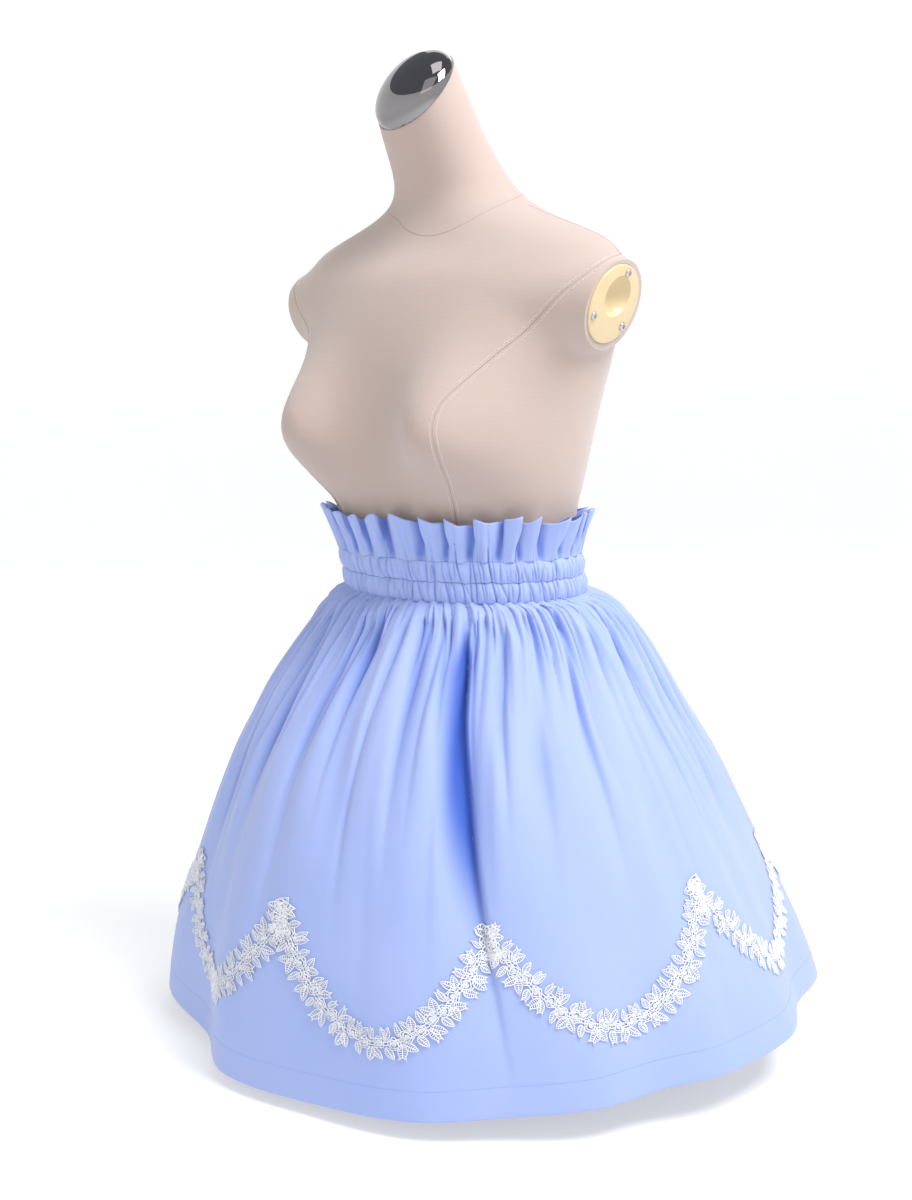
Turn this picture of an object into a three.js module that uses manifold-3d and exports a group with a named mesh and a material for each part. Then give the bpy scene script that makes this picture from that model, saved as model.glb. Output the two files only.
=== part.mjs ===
// Gathered skirt with scalloped lace on a limbless dress form, in millimetres, +Z up, front towards -Y
import * as THREE from 'three';
import { mergeVertices } from 'three/addons/utils/BufferGeometryUtils.js';
import Module from 'manifold-3d';

// Driving dimensions. Heights are measured from the waist seam, drops downwards from it.
const seamGap = 0.3;
const clothWall = 2.0;
const gatherCount = 64;
const pointsPerGather = 3;
const lowerColumns = 84;
const gatherReach = 2.3;
const gatherFade = 60;
const gatherWander = [{ count: 4, degrees: 1.5 }, { count: 10, degrees: 0.8 }];
const foldOpening = 1 / 6;
const foldFull = 0.3;
const hemDropMean = 393;
const hemTilt = 20;
const hemTiltAzimuth = -4;
const hemSway = 6;
const hemSwayAzimuth = -5;
const hemWaveStart = 110;
const hemWaveFull = 400;
const slopeReach = 3;

const bandHalfWidth = 123.2;
const bandHalfDepth = 97.5;
const bandWall = 2.2;
const bandFootShift = 3;
const bandTopShift = -6;
const frillTopShift = -9;
const casingHeight = 19.1;
const casingBulge = 1.6;
const ribCount = 50;
const ribReach = 1.2;

const frillHeight = 37;
const frillFlare = 9.5;
const fluteCount = 26;
const pointsPerFlute = 5;
const fluteReach = 7.5;
const frillTopSway = { count: 7, start: 20, reach: 2.5 };
const frillWall = 1.4;
const frillFlareCurve = 1.3;
const frillWander = [{ count: 3, degrees: 2.4 }, { count: 8, degrees: 1.2 }];
const fluteFootReach = 0.6;
const fluteUneven = { count: 5, start: 40, share: 0.25 };

const laceLift = 0.95;
const laceWall = 1.3;
const laceHalfWidth = 8;
const leafReach = 6.5;
const leavesPerScallop = 12;
const laceTroughDrop = 0.845;
const laceRoundness = 0.9;
const laceEndShare = 0.045;
const laceSlant = 0.92;

const torsoColumns = 34;
const bustHeight = 152;
const bustAside = 90;
const bustReach = 54;
const bustSpread = 46;
const bustAbove = 62;
const bustBelow = 46;
const bustFoot = 70;
const bustFootRise = 30;
const bustFrontBlend = 0.4;
const neckLean = -4;
const neckLeanFoot = 330;
const neckLeanRise = 90;
const neckCutHeight = 453.1;
const neckCutForward = -56.5;
const neckCutTilt = 54;
const neckCutTurn = -7;
const capHalfWidth = 42;
const capHalfLength = 43.2;
const capThickness = 2;
const capDome = 22;
const capDomeAngles = [0, 18, 36, 54, 72];

const armHeight = 263.4;
const armBack = -11;
const armOut = 186;
const armDroop = 18.2;
const armTurn = 4.2;
const armPlateRadius = 35;
const armPlateThickness = 14;
const armPlateProud = 1.5;
const armSides = 28;
const armStubRise = 1.2;
const armStubBack = 1;
const armStubHalfDepth = 38;
const armStubHalfHeight = 39.2;
const armStubRoot = 100;
const armStubRootGrowth = 1.25;
const bowlRadius = 20;
const bowlDepth = 11.5;
const bowlRise = 7;
const bowlBack = 1.4;
const screwRadius = 3.6;
const screwHeight = 1.6;
const screwTopShare = 0.75;
const screwSides = 10;
const screwCircle = 28.5;
const screwAngles = [75, 202, 318];

const floorDrop = 430;
const baseRadius = 172;
const baseThickness = 11;
const baseDome = 5;
const postRadius = 16;
const postCollarRadius = 30;
const postCollarHeight = 14;
const postCollarTopShare = 0.8;
const baseRimShare = 0.6;
const baseRimBevel = 6;
const baseCrownRadius = 50;
const latheSides = { cap: 28, post: 20, base: 40 };
const neckCutterSize = 300;

// The bell of the skirt: half width, half depth and shift to the back at each drop
const bellSections = [
  { drop: 0, halfWidth: 128.6, halfDepth: 102.8, backShift: 4 },
  { drop: 4, halfWidth: 141, halfDepth: 117, backShift: 10 },
  { drop: 14, halfWidth: 154, halfDepth: 131, backShift: 13 },
  { drop: 30, halfWidth: 168, halfDepth: 146, backShift: 15 },
  { drop: 60, halfWidth: 187, halfDepth: 168, backShift: 14 },
  { drop: 100, halfWidth: 210, halfDepth: 195, backShift: 13 },
  { drop: 150, halfWidth: 238, halfDepth: 224, backShift: 16 },
  { drop: 200, halfWidth: 259, halfDepth: 245, backShift: 20 },
  { drop: 260, halfWidth: 282, halfDepth: 266, backShift: 27 },
  { drop: 310, halfWidth: 301, halfDepth: 284, backShift: 34 },
  { drop: 360, halfWidth: 317, halfDepth: 297, backShift: 41 },
  { drop: 436, halfWidth: 336, halfDepth: 309, backShift: 50 },
];

// Long valleys between gathers: azimuth at their top and foot, drops they span, half width and depth
const skirtFolds = [
  { azimuthTop: 30, azimuthFoot: 41, from: 4, to: 350, halfWidth: 13, depth: 13 },
  { azimuthTop: 44, azimuthFoot: 48, from: 2, to: 150, halfWidth: 7, depth: 5 },
  { azimuthTop: 18, azimuthFoot: 25, from: 2, to: 170, halfWidth: 8, depth: 5 },
  { azimuthTop: 0, azimuthFoot: 11, from: 6, to: 250, halfWidth: 12, depth: 8 },
  { azimuthTop: -12, azimuthFoot: -4, from: 4, to: 170, halfWidth: 9, depth: 5 },
  { azimuthTop: -27, azimuthFoot: -14, from: 8, to: 280, halfWidth: 12, depth: 8 },
  { azimuthTop: -52, azimuthFoot: -58, from: 4, to: 300, halfWidth: 13, depth: 9 },
  { azimuthTop: -76, azimuthFoot: -80, from: 4, to: 200, halfWidth: 10, depth: 6 },
  { azimuthTop: 60, azimuthFoot: 64, from: 2, to: 130, halfWidth: 9, depth: 4 },
  { azimuthTop: 78, azimuthFoot: 76, from: 4, to: 190, halfWidth: 9, depth: 5 },
  { azimuthTop: 97, azimuthFoot: 92, from: 4, to: 260, halfWidth: 11, depth: 7 },
  { azimuthTop: 116, azimuthFoot: 108, from: 6, to: 300, halfWidth: 12, depth: 8 },
  { azimuthTop: 140, azimuthFoot: 146, from: 4, to: 330, halfWidth: 13, depth: 11 },
  { azimuthTop: 162, azimuthFoot: 158, from: 4, to: 180, halfWidth: 9, depth: 5 },
  { azimuthTop: 181, azimuthFoot: 187, from: 6, to: 290, halfWidth: 12, depth: 9 },
  { azimuthTop: 205, azimuthFoot: 202, from: 4, to: 160, halfWidth: 9, depth: 5 },
  { azimuthTop: 224, azimuthFoot: 230, from: 4, to: 320, halfWidth: 13, depth: 10 },
  { azimuthTop: 250, azimuthFoot: 252, from: 4, to: 210, halfWidth: 10, depth: 6 },
];

// Soft waves of the lower skirt: how far the hem stands out at each azimuth
const hemWaves = [
  { azimuth: -70, reach: -5 },
  { azimuth: -45, reach: 12 },
  { azimuth: -23, reach: -13 },
  { azimuth: -8, reach: 9 },
  { azimuth: 12, reach: -2 },
  { azimuth: 27, reach: 1 },
  { azimuth: 43, reach: -9 },
  { azimuth: 56, reach: -5 },
  { azimuth: 67, reach: -12 },
  { azimuth: 82, reach: 1 },
  { azimuth: 98, reach: 5 },
  { azimuth: 111, reach: -9 },
  { azimuth: 127, reach: 9 },
  { azimuth: 146, reach: -9 },
  { azimuth: 166, reach: 8 },
  { azimuth: 187, reach: -8 },
  { azimuth: 208, reach: 9 },
  { azimuth: 230, reach: -9 },
  { azimuth: 254, reach: 9 },
];

// Where the lace scallops hang from, all round the skirt, and their share of the way down to the hem
const lacePeaks = [
  { azimuth: -38, drop: 0.65 },
  { azimuth: 2, drop: 0.622 },
  { azimuth: 42, drop: 0.642 },
  { azimuth: 86, drop: 0.622 },
  { azimuth: 126, drop: 0.65 },
  { azimuth: 165, drop: 0.61 },
  { azimuth: 204, drop: 0.64 },
  { azimuth: 243, drop: 0.615 },
  { azimuth: 282, drop: 0.635 },
];

// The body of the form: half width, half depth and forward or back shift at each height
const torsoSections = [
  { height: -92, halfWidth: 120, halfDepth: 90, shift: 12 },
  { height: -84, halfWidth: 143, halfDepth: 112, shift: 12 },
  { height: -44, halfWidth: 140, halfDepth: 110, shift: 9 },
  { height: -6, halfWidth: 122.6, halfDepth: 96.9, shift: 3.8 },
  { height: 20, halfWidth: 122.6, halfDepth: 96.9, shift: -1.5 },
  { height: 42, halfWidth: 122.6, halfDepth: 96.9, shift: -6.3 },
  { height: 78, halfWidth: 124, halfDepth: 98, shift: -9 },
  { height: 100, halfWidth: 132, halfDepth: 102, shift: -11 },
  { height: 122, halfWidth: 139, halfDepth: 104, shift: -12 },
  { height: 152, halfWidth: 146, halfDepth: 106, shift: -11 },
  { height: 182, halfWidth: 153, halfDepth: 107, shift: -9 },
  { height: 214, halfWidth: 163, halfDepth: 106, shift: -7 },
  { height: 244, halfWidth: 173, halfDepth: 101, shift: -6 },
  { height: 270, halfWidth: 181, halfDepth: 93, shift: -6 },
  { height: 292, halfWidth: 185, halfDepth: 82, shift: -7 },
  { height: 307, halfWidth: 184, halfDepth: 71, shift: -6 },
  { height: 318, halfWidth: 174, halfDepth: 64, shift: -5 },
  { height: 330, halfWidth: 146, halfDepth: 60, shift: -3 },
  { height: 343, halfWidth: 108, halfDepth: 58, shift: -1 },
  { height: 356, halfWidth: 78, halfDepth: 56, shift: -1 },
  { height: 368, halfWidth: 62, halfDepth: 54, shift: -5 },
  { height: 385, halfWidth: 53.5, halfDepth: 51.5, shift: -15 },
  { height: 420, halfWidth: 47, halfDepth: 47.5, shift: -36 },
  { height: 460, halfWidth: 42.5, halfDepth: 44, shift: -57 },
  { height: 550, halfWidth: 36, halfDepth: 38, shift: -106 },
];

const clothBlue = { color: 0xa9bdf0, roughness: 0.85, metalness: 0 };
const laceWhite = { color: 0xe9ecf4, roughness: 0.8, metalness: 0 };
const formCover = { color: 0xcdb6b0, roughness: 0.9, metalness: 0 };
const chrome = { color: 0xd8dade, roughness: 0.08, metalness: 1 };
const creamPlastic = { color: 0xf0ddb4, roughness: 0.45, metalness: 0 };
const standMetal = { color: 0xc9cbce, roughness: 0.35, metalness: 0.9 };

const part = new THREE.Group();

function radians(degrees) {
  return (degrees * Math.PI) / 180;
}

function clamp01(value) {
  return Math.min(1, Math.max(0, value));
}

function smooth(value) {
  const t = clamp01(value);
  return t * t * (3 - 2 * t);
}

// Smooth curve through one column of a section table
function alongTable(rows, key, column, at) {
  const last = rows.length - 1;
  let i = 0;
  while (i < last - 1 && at > rows[i + 1][key]) i += 1;
  const span = rows[i + 1][key] - rows[i][key];
  const t = clamp01((at - rows[i][key]) / span);
  const before = rows[Math.max(0, i - 1)];
  const after = rows[Math.min(last, i + 2)];
  const slopeIn = (rows[i + 1][column] - before[column]) / (rows[i + 1][key] - before[key]);
  const slopeOut = (after[column] - rows[i][column]) / (after[key] - rows[i][key]);
  const t2 = t * t;
  const t3 = t2 * t;
  return (2 * t3 - 3 * t2 + 1) * rows[i][column] + (t3 - 2 * t2 + t) * span * slopeIn
    + (3 * t2 - 2 * t3) * rows[i + 1][column] + (t3 - t2) * span * slopeOut;
}

// A slow drift in degrees, made of a few even waves round the waist
function wander(waves, phase) {
  return waves.reduce((sum, wave) => sum + wave.degrees * Math.sin(radians(wave.count * phase)), 0);
}

// Smallest turn from one azimuth to another
function turnBetween(a, b) {
  return ((((a - b + 180) % 360) + 360) % 360) - 180;
}

function hemDrop(azimuth) {
  return hemDropMean + hemTilt * Math.cos(radians(azimuth - hemTiltAzimuth))
    + hemSway * Math.cos(radians(2 * (azimuth - hemSwayAzimuth)));
}

function hemWave(azimuth) {
  const count = hemWaves.length;
  for (let i = 0; i < count; i += 1) {
    const here = hemWaves[i];
    const next = hemWaves[(i + 1) % count];
    const width = (((next.azimuth - here.azimuth) % 360) + 360) % 360;
    const past = (((azimuth - here.azimuth) % 360) + 360) % 360;
    if (past <= width) return here.reach + (next.reach - here.reach) * smooth(past / width);
  }
  return 0;
}

function foldReach(azimuth, drop, radius) {
  let reach = 0;
  for (const fold of skirtFolds) {
    const t = (drop - fold.from) / (fold.to - fold.from);
    if (t <= 0 || t >= 1) continue;
    const middle = fold.azimuthTop + (fold.azimuthFoot - fold.azimuthTop) * Math.sqrt(t);
    const aside = radians(turnBetween(azimuth, middle)) * radius / (fold.halfWidth * (1 + t));
    const strength = smooth(t / foldOpening) * (1 - smooth((t - foldFull) / (1 - foldFull)));
    reach -= fold.depth * strength * Math.exp(-aside * aside);
  }
  return reach;
}

// The gathers crowd and spread a little round the waist, but not at the side seams
function gatherShift(phase) {
  return wander(gatherWander, phase);
}

// Point of the skirt's outer face at a gather phase and a share of the way down, moved out by lift
function skirtPoint(phase, share, lift) {
  const azimuth = phase + gatherShift(phase) * (1 - share);
  const drop = share * hemDrop(azimuth);
  const halfWidth = alongTable(bellSections, 'drop', 'halfWidth', drop);
  const halfDepth = alongTable(bellSections, 'drop', 'halfDepth', drop);
  const shift = alongTable(bellSections, 'drop', 'backShift', drop);
  const above = alongTable(bellSections, 'drop', 'halfWidth', drop - slopeReach);
  const below = alongTable(bellSections, 'drop', 'halfWidth', drop + slopeReach);
  const slope = Math.atan((below - above) / (2 * slopeReach));
  const gather = gatherReach * Math.cos(radians(gatherCount * phase)) * Math.exp(-drop / gatherFade);
  const wave = hemWave(azimuth) * smooth((drop - hemWaveStart) / (hemWaveFull - hemWaveStart));
  const outwards = gather + wave + foldReach(azimuth, drop, halfWidth) + lift * Math.cos(slope);
  const angle = radians(azimuth);
  return new THREE.Vector3(
    (halfWidth + outwards) * Math.sin(angle),
    shift - (halfDepth + outwards) * Math.cos(angle),
    lift * Math.sin(slope) - drop,
  );
}

// Collects points and faces of one closed body
class Shell {
  constructor() {
    this.points = [];
    this.faces = [];
  }

  row(points, places) {
    const first = this.points.length;
    this.points.push(...points);
    return points.map((point, i) => ({ index: first + i, place: places[i] }));
  }

  face(a, b, c, flipped) {
    if (a === b || b === c || a === c) return;
    this.faces.push(...(flipped ? [a, c, b] : [a, b, c]));
  }

  // Joins a lower row to an upper one, whose counts may differ; faces look outwards for rows
  // that run anticlockwise seen from above
  join(lower, upper, flipped) {
    let i = 0;
    let j = 0;
    while (i < lower.length - 1 || j < upper.length - 1) {
      const lowerNext = i < lower.length - 1 ? lower[i + 1].place : Infinity;
      const upperNext = j < upper.length - 1 ? upper[j + 1].place : Infinity;
      if (lowerNext <= upperNext) {
        this.face(lower[i].index, lower[i + 1].index, upper[j].index, flipped);
        i += 1;
      } else {
        this.face(lower[i].index, upper[j + 1].index, upper[j].index, flipped);
        j += 1;
      }
    }
  }

  geometry() {
    const geometry = new THREE.BufferGeometry();
    const numbers = this.points.flatMap((point) => [point.x, point.y, point.z]);
    geometry.setAttribute('position', new THREE.Float32BufferAttribute(numbers, 3));
    geometry.setIndex(this.faces);
    geometry.computeVertexNormals();
    return geometry;
  }
}

// Closes a row on itself, for a tube
function closed(row) {
  return [...row, { index: row[0].index, place: row[0].place + 360 }];
}

// A wall between rows of outer points and rows of inner ones, both from the bottom upwards
function wall(outerRows, innerRows, isTube) {
  const shell = new Shell();
  const finish = (row) => (isTube ? closed(row) : row);
  const outer = outerRows.map((row) => finish(shell.row(row.points, row.places)));
  const inner = innerRows.map((row) => finish(shell.row(row.points, row.places)));
  for (let i = 0; i < outer.length - 1; i += 1) shell.join(outer[i], outer[i + 1], false);
  for (let i = 0; i < inner.length - 1; i += 1) shell.join(inner[i], inner[i + 1], true);
  shell.join(outer[0], inner[0], true);
  shell.join(outer[outer.length - 1], inner[inner.length - 1], false);
  if (!isTube) {
    const ends = (rows, pick) => rows.map((row, i) => ({ index: pick(row).index, place: i }));
    const start = (row) => row[0];
    const stop = (row) => row[row.length - 1];
    shell.join(ends(outer, start), ends(inner, start), false);
    shell.join(ends(outer, stop), ends(inner, stop), true);
  }
  return shell.geometry();
}

function addMesh(name, geometry, finish) {
  const mesh = new THREE.Mesh(geometry, new THREE.MeshStandardMaterial(finish));
  mesh.name = name;
  part.add(mesh);
  return mesh;
}

// Skirt panels, cut at the side seams
const gatherRows = [0, 0.015, 0.055, 0.12];
const bellRows = [0.18, 0.26, 0.36, 0.47, 0.59, 0.71, 0.85, 1];

function panelRow(fromPhase, toPhase, share, columns, lift) {
  const points = [];
  const places = [];
  for (let i = 0; i <= columns; i += 1) {
    const phase = fromPhase + ((toPhase - fromPhase) * i) / columns;
    const point = skirtPoint(phase, share, lift);
    if (i === 0) point.y += seamSide(fromPhase) * (seamGap / 2);
    if (i === columns) point.y += seamSide(toPhase) * (seamGap / 2) * -1;
    points.push(point);
    places.push(phase);
  }
  return { points, places };
}

// The front panel ends before the side seam and the back panel starts after it
function seamSide(phase) {
  return Math.abs(turnBetween(phase, 90)) < 1 ? 1 : -1;
}

function skirtPanel(name, fromPhase, toPhase) {
  const rowsAt = (lift) => [
    ...[...bellRows].reverse().map((share) => panelRow(fromPhase, toPhase, share, lowerColumns / 2, lift)),
    ...[...gatherRows].reverse().map((share) => panelRow(
      fromPhase,
      toPhase,
      share,
      (gatherCount * pointsPerGather) / 2,
      lift,
    )),
  ];
  return addMesh(name, wall(rowsAt(0), rowsAt(-clothWall), false), clothBlue);
}

skirtPanel('skirt_front', -90, 90);
skirtPanel('skirt_back', 90, 270);

// Elastic casings, ribbed outside over a plain inside
const lowerCasingFoot = seamGap;
const upperCasingFoot = lowerCasingFoot + casingHeight + seamGap;
const frillFoot = upperCasingFoot + casingHeight + seamGap;
const bandHeight = frillFoot;

function bandShift(height) {
  const t = clamp01(height / bandHeight);
  return bandFootShift + (bandTopShift - bandFootShift) * t;
}

function bandRow(height, out, columns, ribs) {
  const points = [];
  const places = [];
  for (let i = 0; i < columns; i += 1) {
    const azimuth = (360 * i) / columns;
    const rib = ribs * (i % 2 === 0 ? 1 : 0);
    const angle = radians(azimuth);
    points.push(new THREE.Vector3(
      (bandHalfWidth + out + rib) * Math.sin(angle),
      bandShift(height) - (bandHalfDepth + out + rib) * Math.cos(angle),
      height,
    ));
    places.push(azimuth);
  }
  return { points, places };
}

function casing(name, bottom) {
  const columns = 2 * ribCount;
  const rows = [
    { height: 0, out: bandWall, ribs: 0 },
    { height: 0.25, out: bandWall + casingBulge, ribs: ribReach },
    { height: 0.75, out: bandWall + casingBulge, ribs: ribReach },
    { height: 1, out: bandWall, ribs: 0 },
  ];
  const outer = rows.map((row) => bandRow(bottom + row.height * casingHeight, row.out, columns, row.ribs));
  const inner = [0, 1].map((share) => bandRow(bottom + share * casingHeight, 0, columns, 0));
  return addMesh(name, wall(outer, inner, true), clothBlue);
}

casing('casing_lower', lowerCasingFoot);
casing('casing_upper', upperCasingFoot);

// Heading frill, whose flutes open towards the top
function frillRow(share, lift) {
  const points = [];
  const places = [];
  const columns = fluteCount * pointsPerFlute;
  for (let i = 0; i < columns; i += 1) {
    const phase = (360 * i) / columns;
    const azimuth = phase + wander(frillWander, phase);
    const flute = Math.cos(radians(fluteCount * phase));
    const uneven = 1 + fluteUneven.share * Math.sin(radians(fluteUneven.count * phase + fluteUneven.start));
    const reach = fluteFootReach + (fluteReach - fluteFootReach) * share;
    const out = bandWall + frillFlare * share ** frillFlareCurve + lift + flute * uneven * reach;
    const sway = frillTopSway.reach * share
      * Math.sin(radians(frillTopSway.count * phase + frillTopSway.start));
    const angle = radians(azimuth);
    points.push(new THREE.Vector3(
      (bandHalfWidth + out) * Math.sin(angle),
      bandTopShift + (frillTopShift - bandTopShift) * share - (bandHalfDepth + out) * Math.cos(angle),
      frillFoot + frillHeight * share + sway,
    ));
    places.push(phase);
  }
  return { points, places };
}

const frillShares = [0, 0.25, 0.6, 1];
const frillOutside = frillShares.map((share) => frillRow(share, 0));
const frillInside = frillShares.map((share) => frillRow(share, -frillWall));
addMesh('frill', wall(frillOutside, frillInside, true), clothBlue);

// Lace scallops, each a leafed strip over the panel's own points. A point is a share u of the way
// from peak to peak and so far aside of the middle line, measured down the slant of the skirt.
function lacePoint(fromPeak, toPeak, u, aside, lift) {
  const step = 0.01;
  const at = (s) => {
    const azimuth = fromPeak.azimuth + (toPeak.azimuth - fromPeak.azimuth) * s;
    const sag = Math.sin(Math.PI * clamp01(s)) ** laceRoundness;
    const peakDrop = fromPeak.drop + (toPeak.drop - fromPeak.drop) * clamp01(s);
    const hang = peakDrop + (laceTroughDrop - peakDrop) * sag;
    return { azimuth, hang };
  };
  const here = at(u);
  const from = skirtPoint(at(u - step).azimuth, at(u - step).hang, 0);
  const to = skirtPoint(at(u + step).azimuth, at(u + step).hang, 0);
  const middle = skirtPoint(here.azimuth, here.hang, 0);
  const radius = Math.hypot(middle.x, middle.y);
  const along = new THREE.Vector2(
    radians(at(u + step).azimuth - at(u - step).azimuth) * radius,
    from.z - to.z,
  ).normalize();
  const azimuth = here.azimuth + (along.y * aside / radius) * (180 / Math.PI);
  const share = here.hang - (along.x * aside * laceSlant) / hemDrop(azimuth);
  return skirtPoint(azimuth, share, lift);
}

function laceScallop(name, fromPeak, toPeak) {
  const stations = 2 * leavesPerScallop;
  const inside = laceLift;
  const outside = laceLift + laceWall;
  const corners = [
    { side: -1, lift: outside },
    { side: 1, lift: outside },
    { side: 1, lift: inside },
    { side: -1, lift: inside },
  ];
  const shell = new Shell();
  const rows = [];
  for (let i = 0; i <= stations; i += 1) {
    const u = laceEndShare + (1 - 2 * laceEndShare) * (i / stations);
    const isEnd = i === 0 || i === stations;
    const reach = laceHalfWidth + (i % 2 === 1 ? leafReach : 0) - (isEnd ? laceHalfWidth / 2 : 0);
    const points = corners.map((corner) => lacePoint(fromPeak, toPeak, u, corner.side * reach, corner.lift));
    rows.push(closed(shell.row(points, [0, 90, 180, 270])));
  }
  for (let i = 0; i < stations; i += 1) shell.join(rows[i], rows[i + 1], true);
  const cap = (row, flipped) => {
    shell.face(row[0].index, row[1].index, row[2].index, flipped);
    shell.face(row[0].index, row[2].index, row[3].index, flipped);
  };
  cap(rows[0], false);
  cap(rows[stations], true);
  return addMesh(name, shell.geometry(), laceWhite);
}

lacePeaks.forEach((peak, i) => {
  const first = lacePeaks[0];
  const next = lacePeaks[i + 1] ?? { azimuth: first.azimuth + 360, drop: first.drop };
  laceScallop(`lace_${String(i + 1).padStart(2, '0')}`, peak, next);
});

// Dress form body, as a closed stack of sections
function torsoPoint(azimuth, height) {
  const angle = radians(azimuth);
  const halfWidth = alongTable(torsoSections, 'height', 'halfWidth', height);
  const halfDepth = alongTable(torsoSections, 'height', 'halfDepth', height);
  const shift = alongTable(torsoSections, 'height', 'shift', height);
  const x = halfWidth * Math.sin(angle);
  const lean = neckLean * smooth((height - neckLeanFoot) / neckLeanRise);
  let y = shift - halfDepth * Math.cos(angle);
  if (Math.cos(angle) > 0) {
    const aside = (Math.abs(x) - bustAside) / bustSpread;
    const above = (height - bustHeight) / (height > bustHeight ? bustAbove : bustBelow);
    const swell = Math.exp(-aside * aside - above * above) * smooth((height - bustFoot) / bustFootRise);
    y -= bustReach * swell * smooth(Math.cos(angle) / bustFrontBlend);
  }
  return new THREE.Vector3(x + lean, y, height);
}

function torsoGeometry() {
  const shell = new Shell();
  const rows = torsoSections.map((section) => {
    const points = [];
    const places = [];
    for (let i = 0; i < torsoColumns; i += 1) {
      const azimuth = (360 * i) / torsoColumns;
      points.push(torsoPoint(azimuth, section.height));
      places.push(azimuth);
    }
    return closed(shell.row(points, places));
  });
  for (let i = 0; i < rows.length - 1; i += 1) shell.join(rows[i], rows[i + 1], false);
  const capAt = (row, flipped) => {
    const middle = new THREE.Vector3();
    for (let i = 0; i < torsoColumns; i += 1) {
      middle.addScaledVector(shell.points[row[i].index], 1 / torsoColumns);
    }
    const centre = shell.row([middle], [0])[0].index;
    for (let i = 0; i < torsoColumns; i += 1) shell.face(row[i].index, row[i + 1].index, centre, flipped);
  };
  capAt(rows[0], true);
  capAt(rows[rows.length - 1], false);
  return shell.geometry();
}

const wasm = await Module();
wasm.setup();

function solid(geometry) {
  const bare = geometry.clone();
  bare.deleteAttribute('normal');
  bare.deleteAttribute('uv');
  const merged = mergeVertices(bare, 0.001);
  return new wasm.Manifold(new wasm.Mesh({
    numProp: 3,
    vertProperties: merged.attributes.position.array,
    triVerts: new Uint32Array(merged.index.array),
  }));
}

function geometryOf(body) {
  const mesh = body.getMesh();
  const geometry = new THREE.BufferGeometry();
  geometry.setAttribute('position', new THREE.BufferAttribute(new Float32Array(mesh.vertProperties), 3));
  geometry.setIndex(Array.from(mesh.triVerts));
  geometry.computeVertexNormals();
  return geometry;
}

// Where an arm's pieces go: they are built along X, and the arm leans down and to the back
function armPlace(side) {
  return new THREE.Matrix4()
    .makeTranslation(side * armOut, armBack, armHeight)
    .multiply(new THREE.Matrix4().makeRotationZ(side * radians(armTurn)))
    .multiply(new THREE.Matrix4().makeRotationY(side * radians(armDroop)))
    .multiply(new THREE.Matrix4().makeTranslation(-side * armOut, 0, 0));
}

// A round piece along X, from one x to another, for an arm
function armCylinder(side, fromOut, toOut, fromRadius, toRadius) {
  const length = toOut - fromOut;
  const geometry = new THREE.CylinderGeometry(toRadius, fromRadius, length, armSides);
  geometry.rotateZ(-side * Math.PI / 2);
  geometry.translate(side * (fromOut + length / 2), 0, 0);
  return geometry;
}

// The covered shoulder end, an upright oval that narrows outwards
function armStub(side) {
  const geometry = armCylinder(side, armStubRoot, armOut, armStubRootGrowth, 1);
  geometry.scale(1, armStubHalfDepth, armStubHalfHeight);
  geometry.translate(0, armStubBack, armStubRise);
  return geometry.applyMatrix4(armPlace(side));
}

function armSeat(side) {
  const radius = armPlateRadius + seamGap;
  const geometry = armCylinder(side, armOut - armPlateThickness, armOut + armPlateRadius, radius, radius);
  return geometry.applyMatrix4(armPlace(side));
}

// Everything above the slanted cut of the neck
function neckCutter() {
  const box = new THREE.BoxGeometry(neckCutterSize, neckCutterSize, neckCutterSize);
  box.translate(0, 0, neckCutterSize / 2);
  box.rotateX(radians(neckCutTilt));
  box.rotateZ(radians(neckCutTurn));
  box.translate(neckLean, neckCutForward, neckCutHeight);
  return box;
}

let torso = solid(torsoGeometry());
for (const side of [-1, 1]) torso = torso.add(solid(armStub(side))).subtract(solid(armSeat(side)));
torso = torso.subtract(solid(neckCutter()));
addMesh('form_torso', geometryOf(torso), formCover);

// Neck cap: a high domed oval on the slanted cut
const capProfile = [
  new THREE.Vector2(0, 0),
  new THREE.Vector2(1, 0),
  ...capDomeAngles.map((angle) => new THREE.Vector2(
    Math.cos(radians(angle)),
    capThickness + capDome * Math.sin(radians(angle)),
  )),
  new THREE.Vector2(0, capThickness + capDome),
];
const capGeometry = new THREE.LatheGeometry(capProfile, latheSides.cap);
capGeometry.rotateX(Math.PI / 2);
capGeometry.scale(capHalfWidth, capHalfLength, 1);
const capSeat = new THREE.Group();
capSeat.position.set(neckLean, neckCutForward, neckCutHeight);
capSeat.rotation.z = radians(neckCutTurn);
const capMount = new THREE.Group();
capMount.rotation.x = radians(neckCutTilt);
const cap = addMesh('form_neck_cap', capGeometry, chrome);
cap.position.z = seamGap;
capMount.add(cap);
capSeat.add(capMount);
part.add(capSeat);

// Arm plates with an off-centre bowl and three screws each
const plateBack = armOut - armPlateThickness + seamGap;
const plateFace = armOut + armPlateProud;

function armPlate(side) {
  const disc = armCylinder(side, plateBack, plateFace, armPlateRadius, armPlateRadius - armPlateProud);
  const bowl = new THREE.SphereGeometry(bowlRadius, 18, 12);
  bowl.translate(side * (plateFace + bowlRadius - bowlDepth), bowlBack, bowlRise);
  return geometryOf(solid(disc).subtract(solid(bowl))).applyMatrix4(armPlace(side));
}

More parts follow.
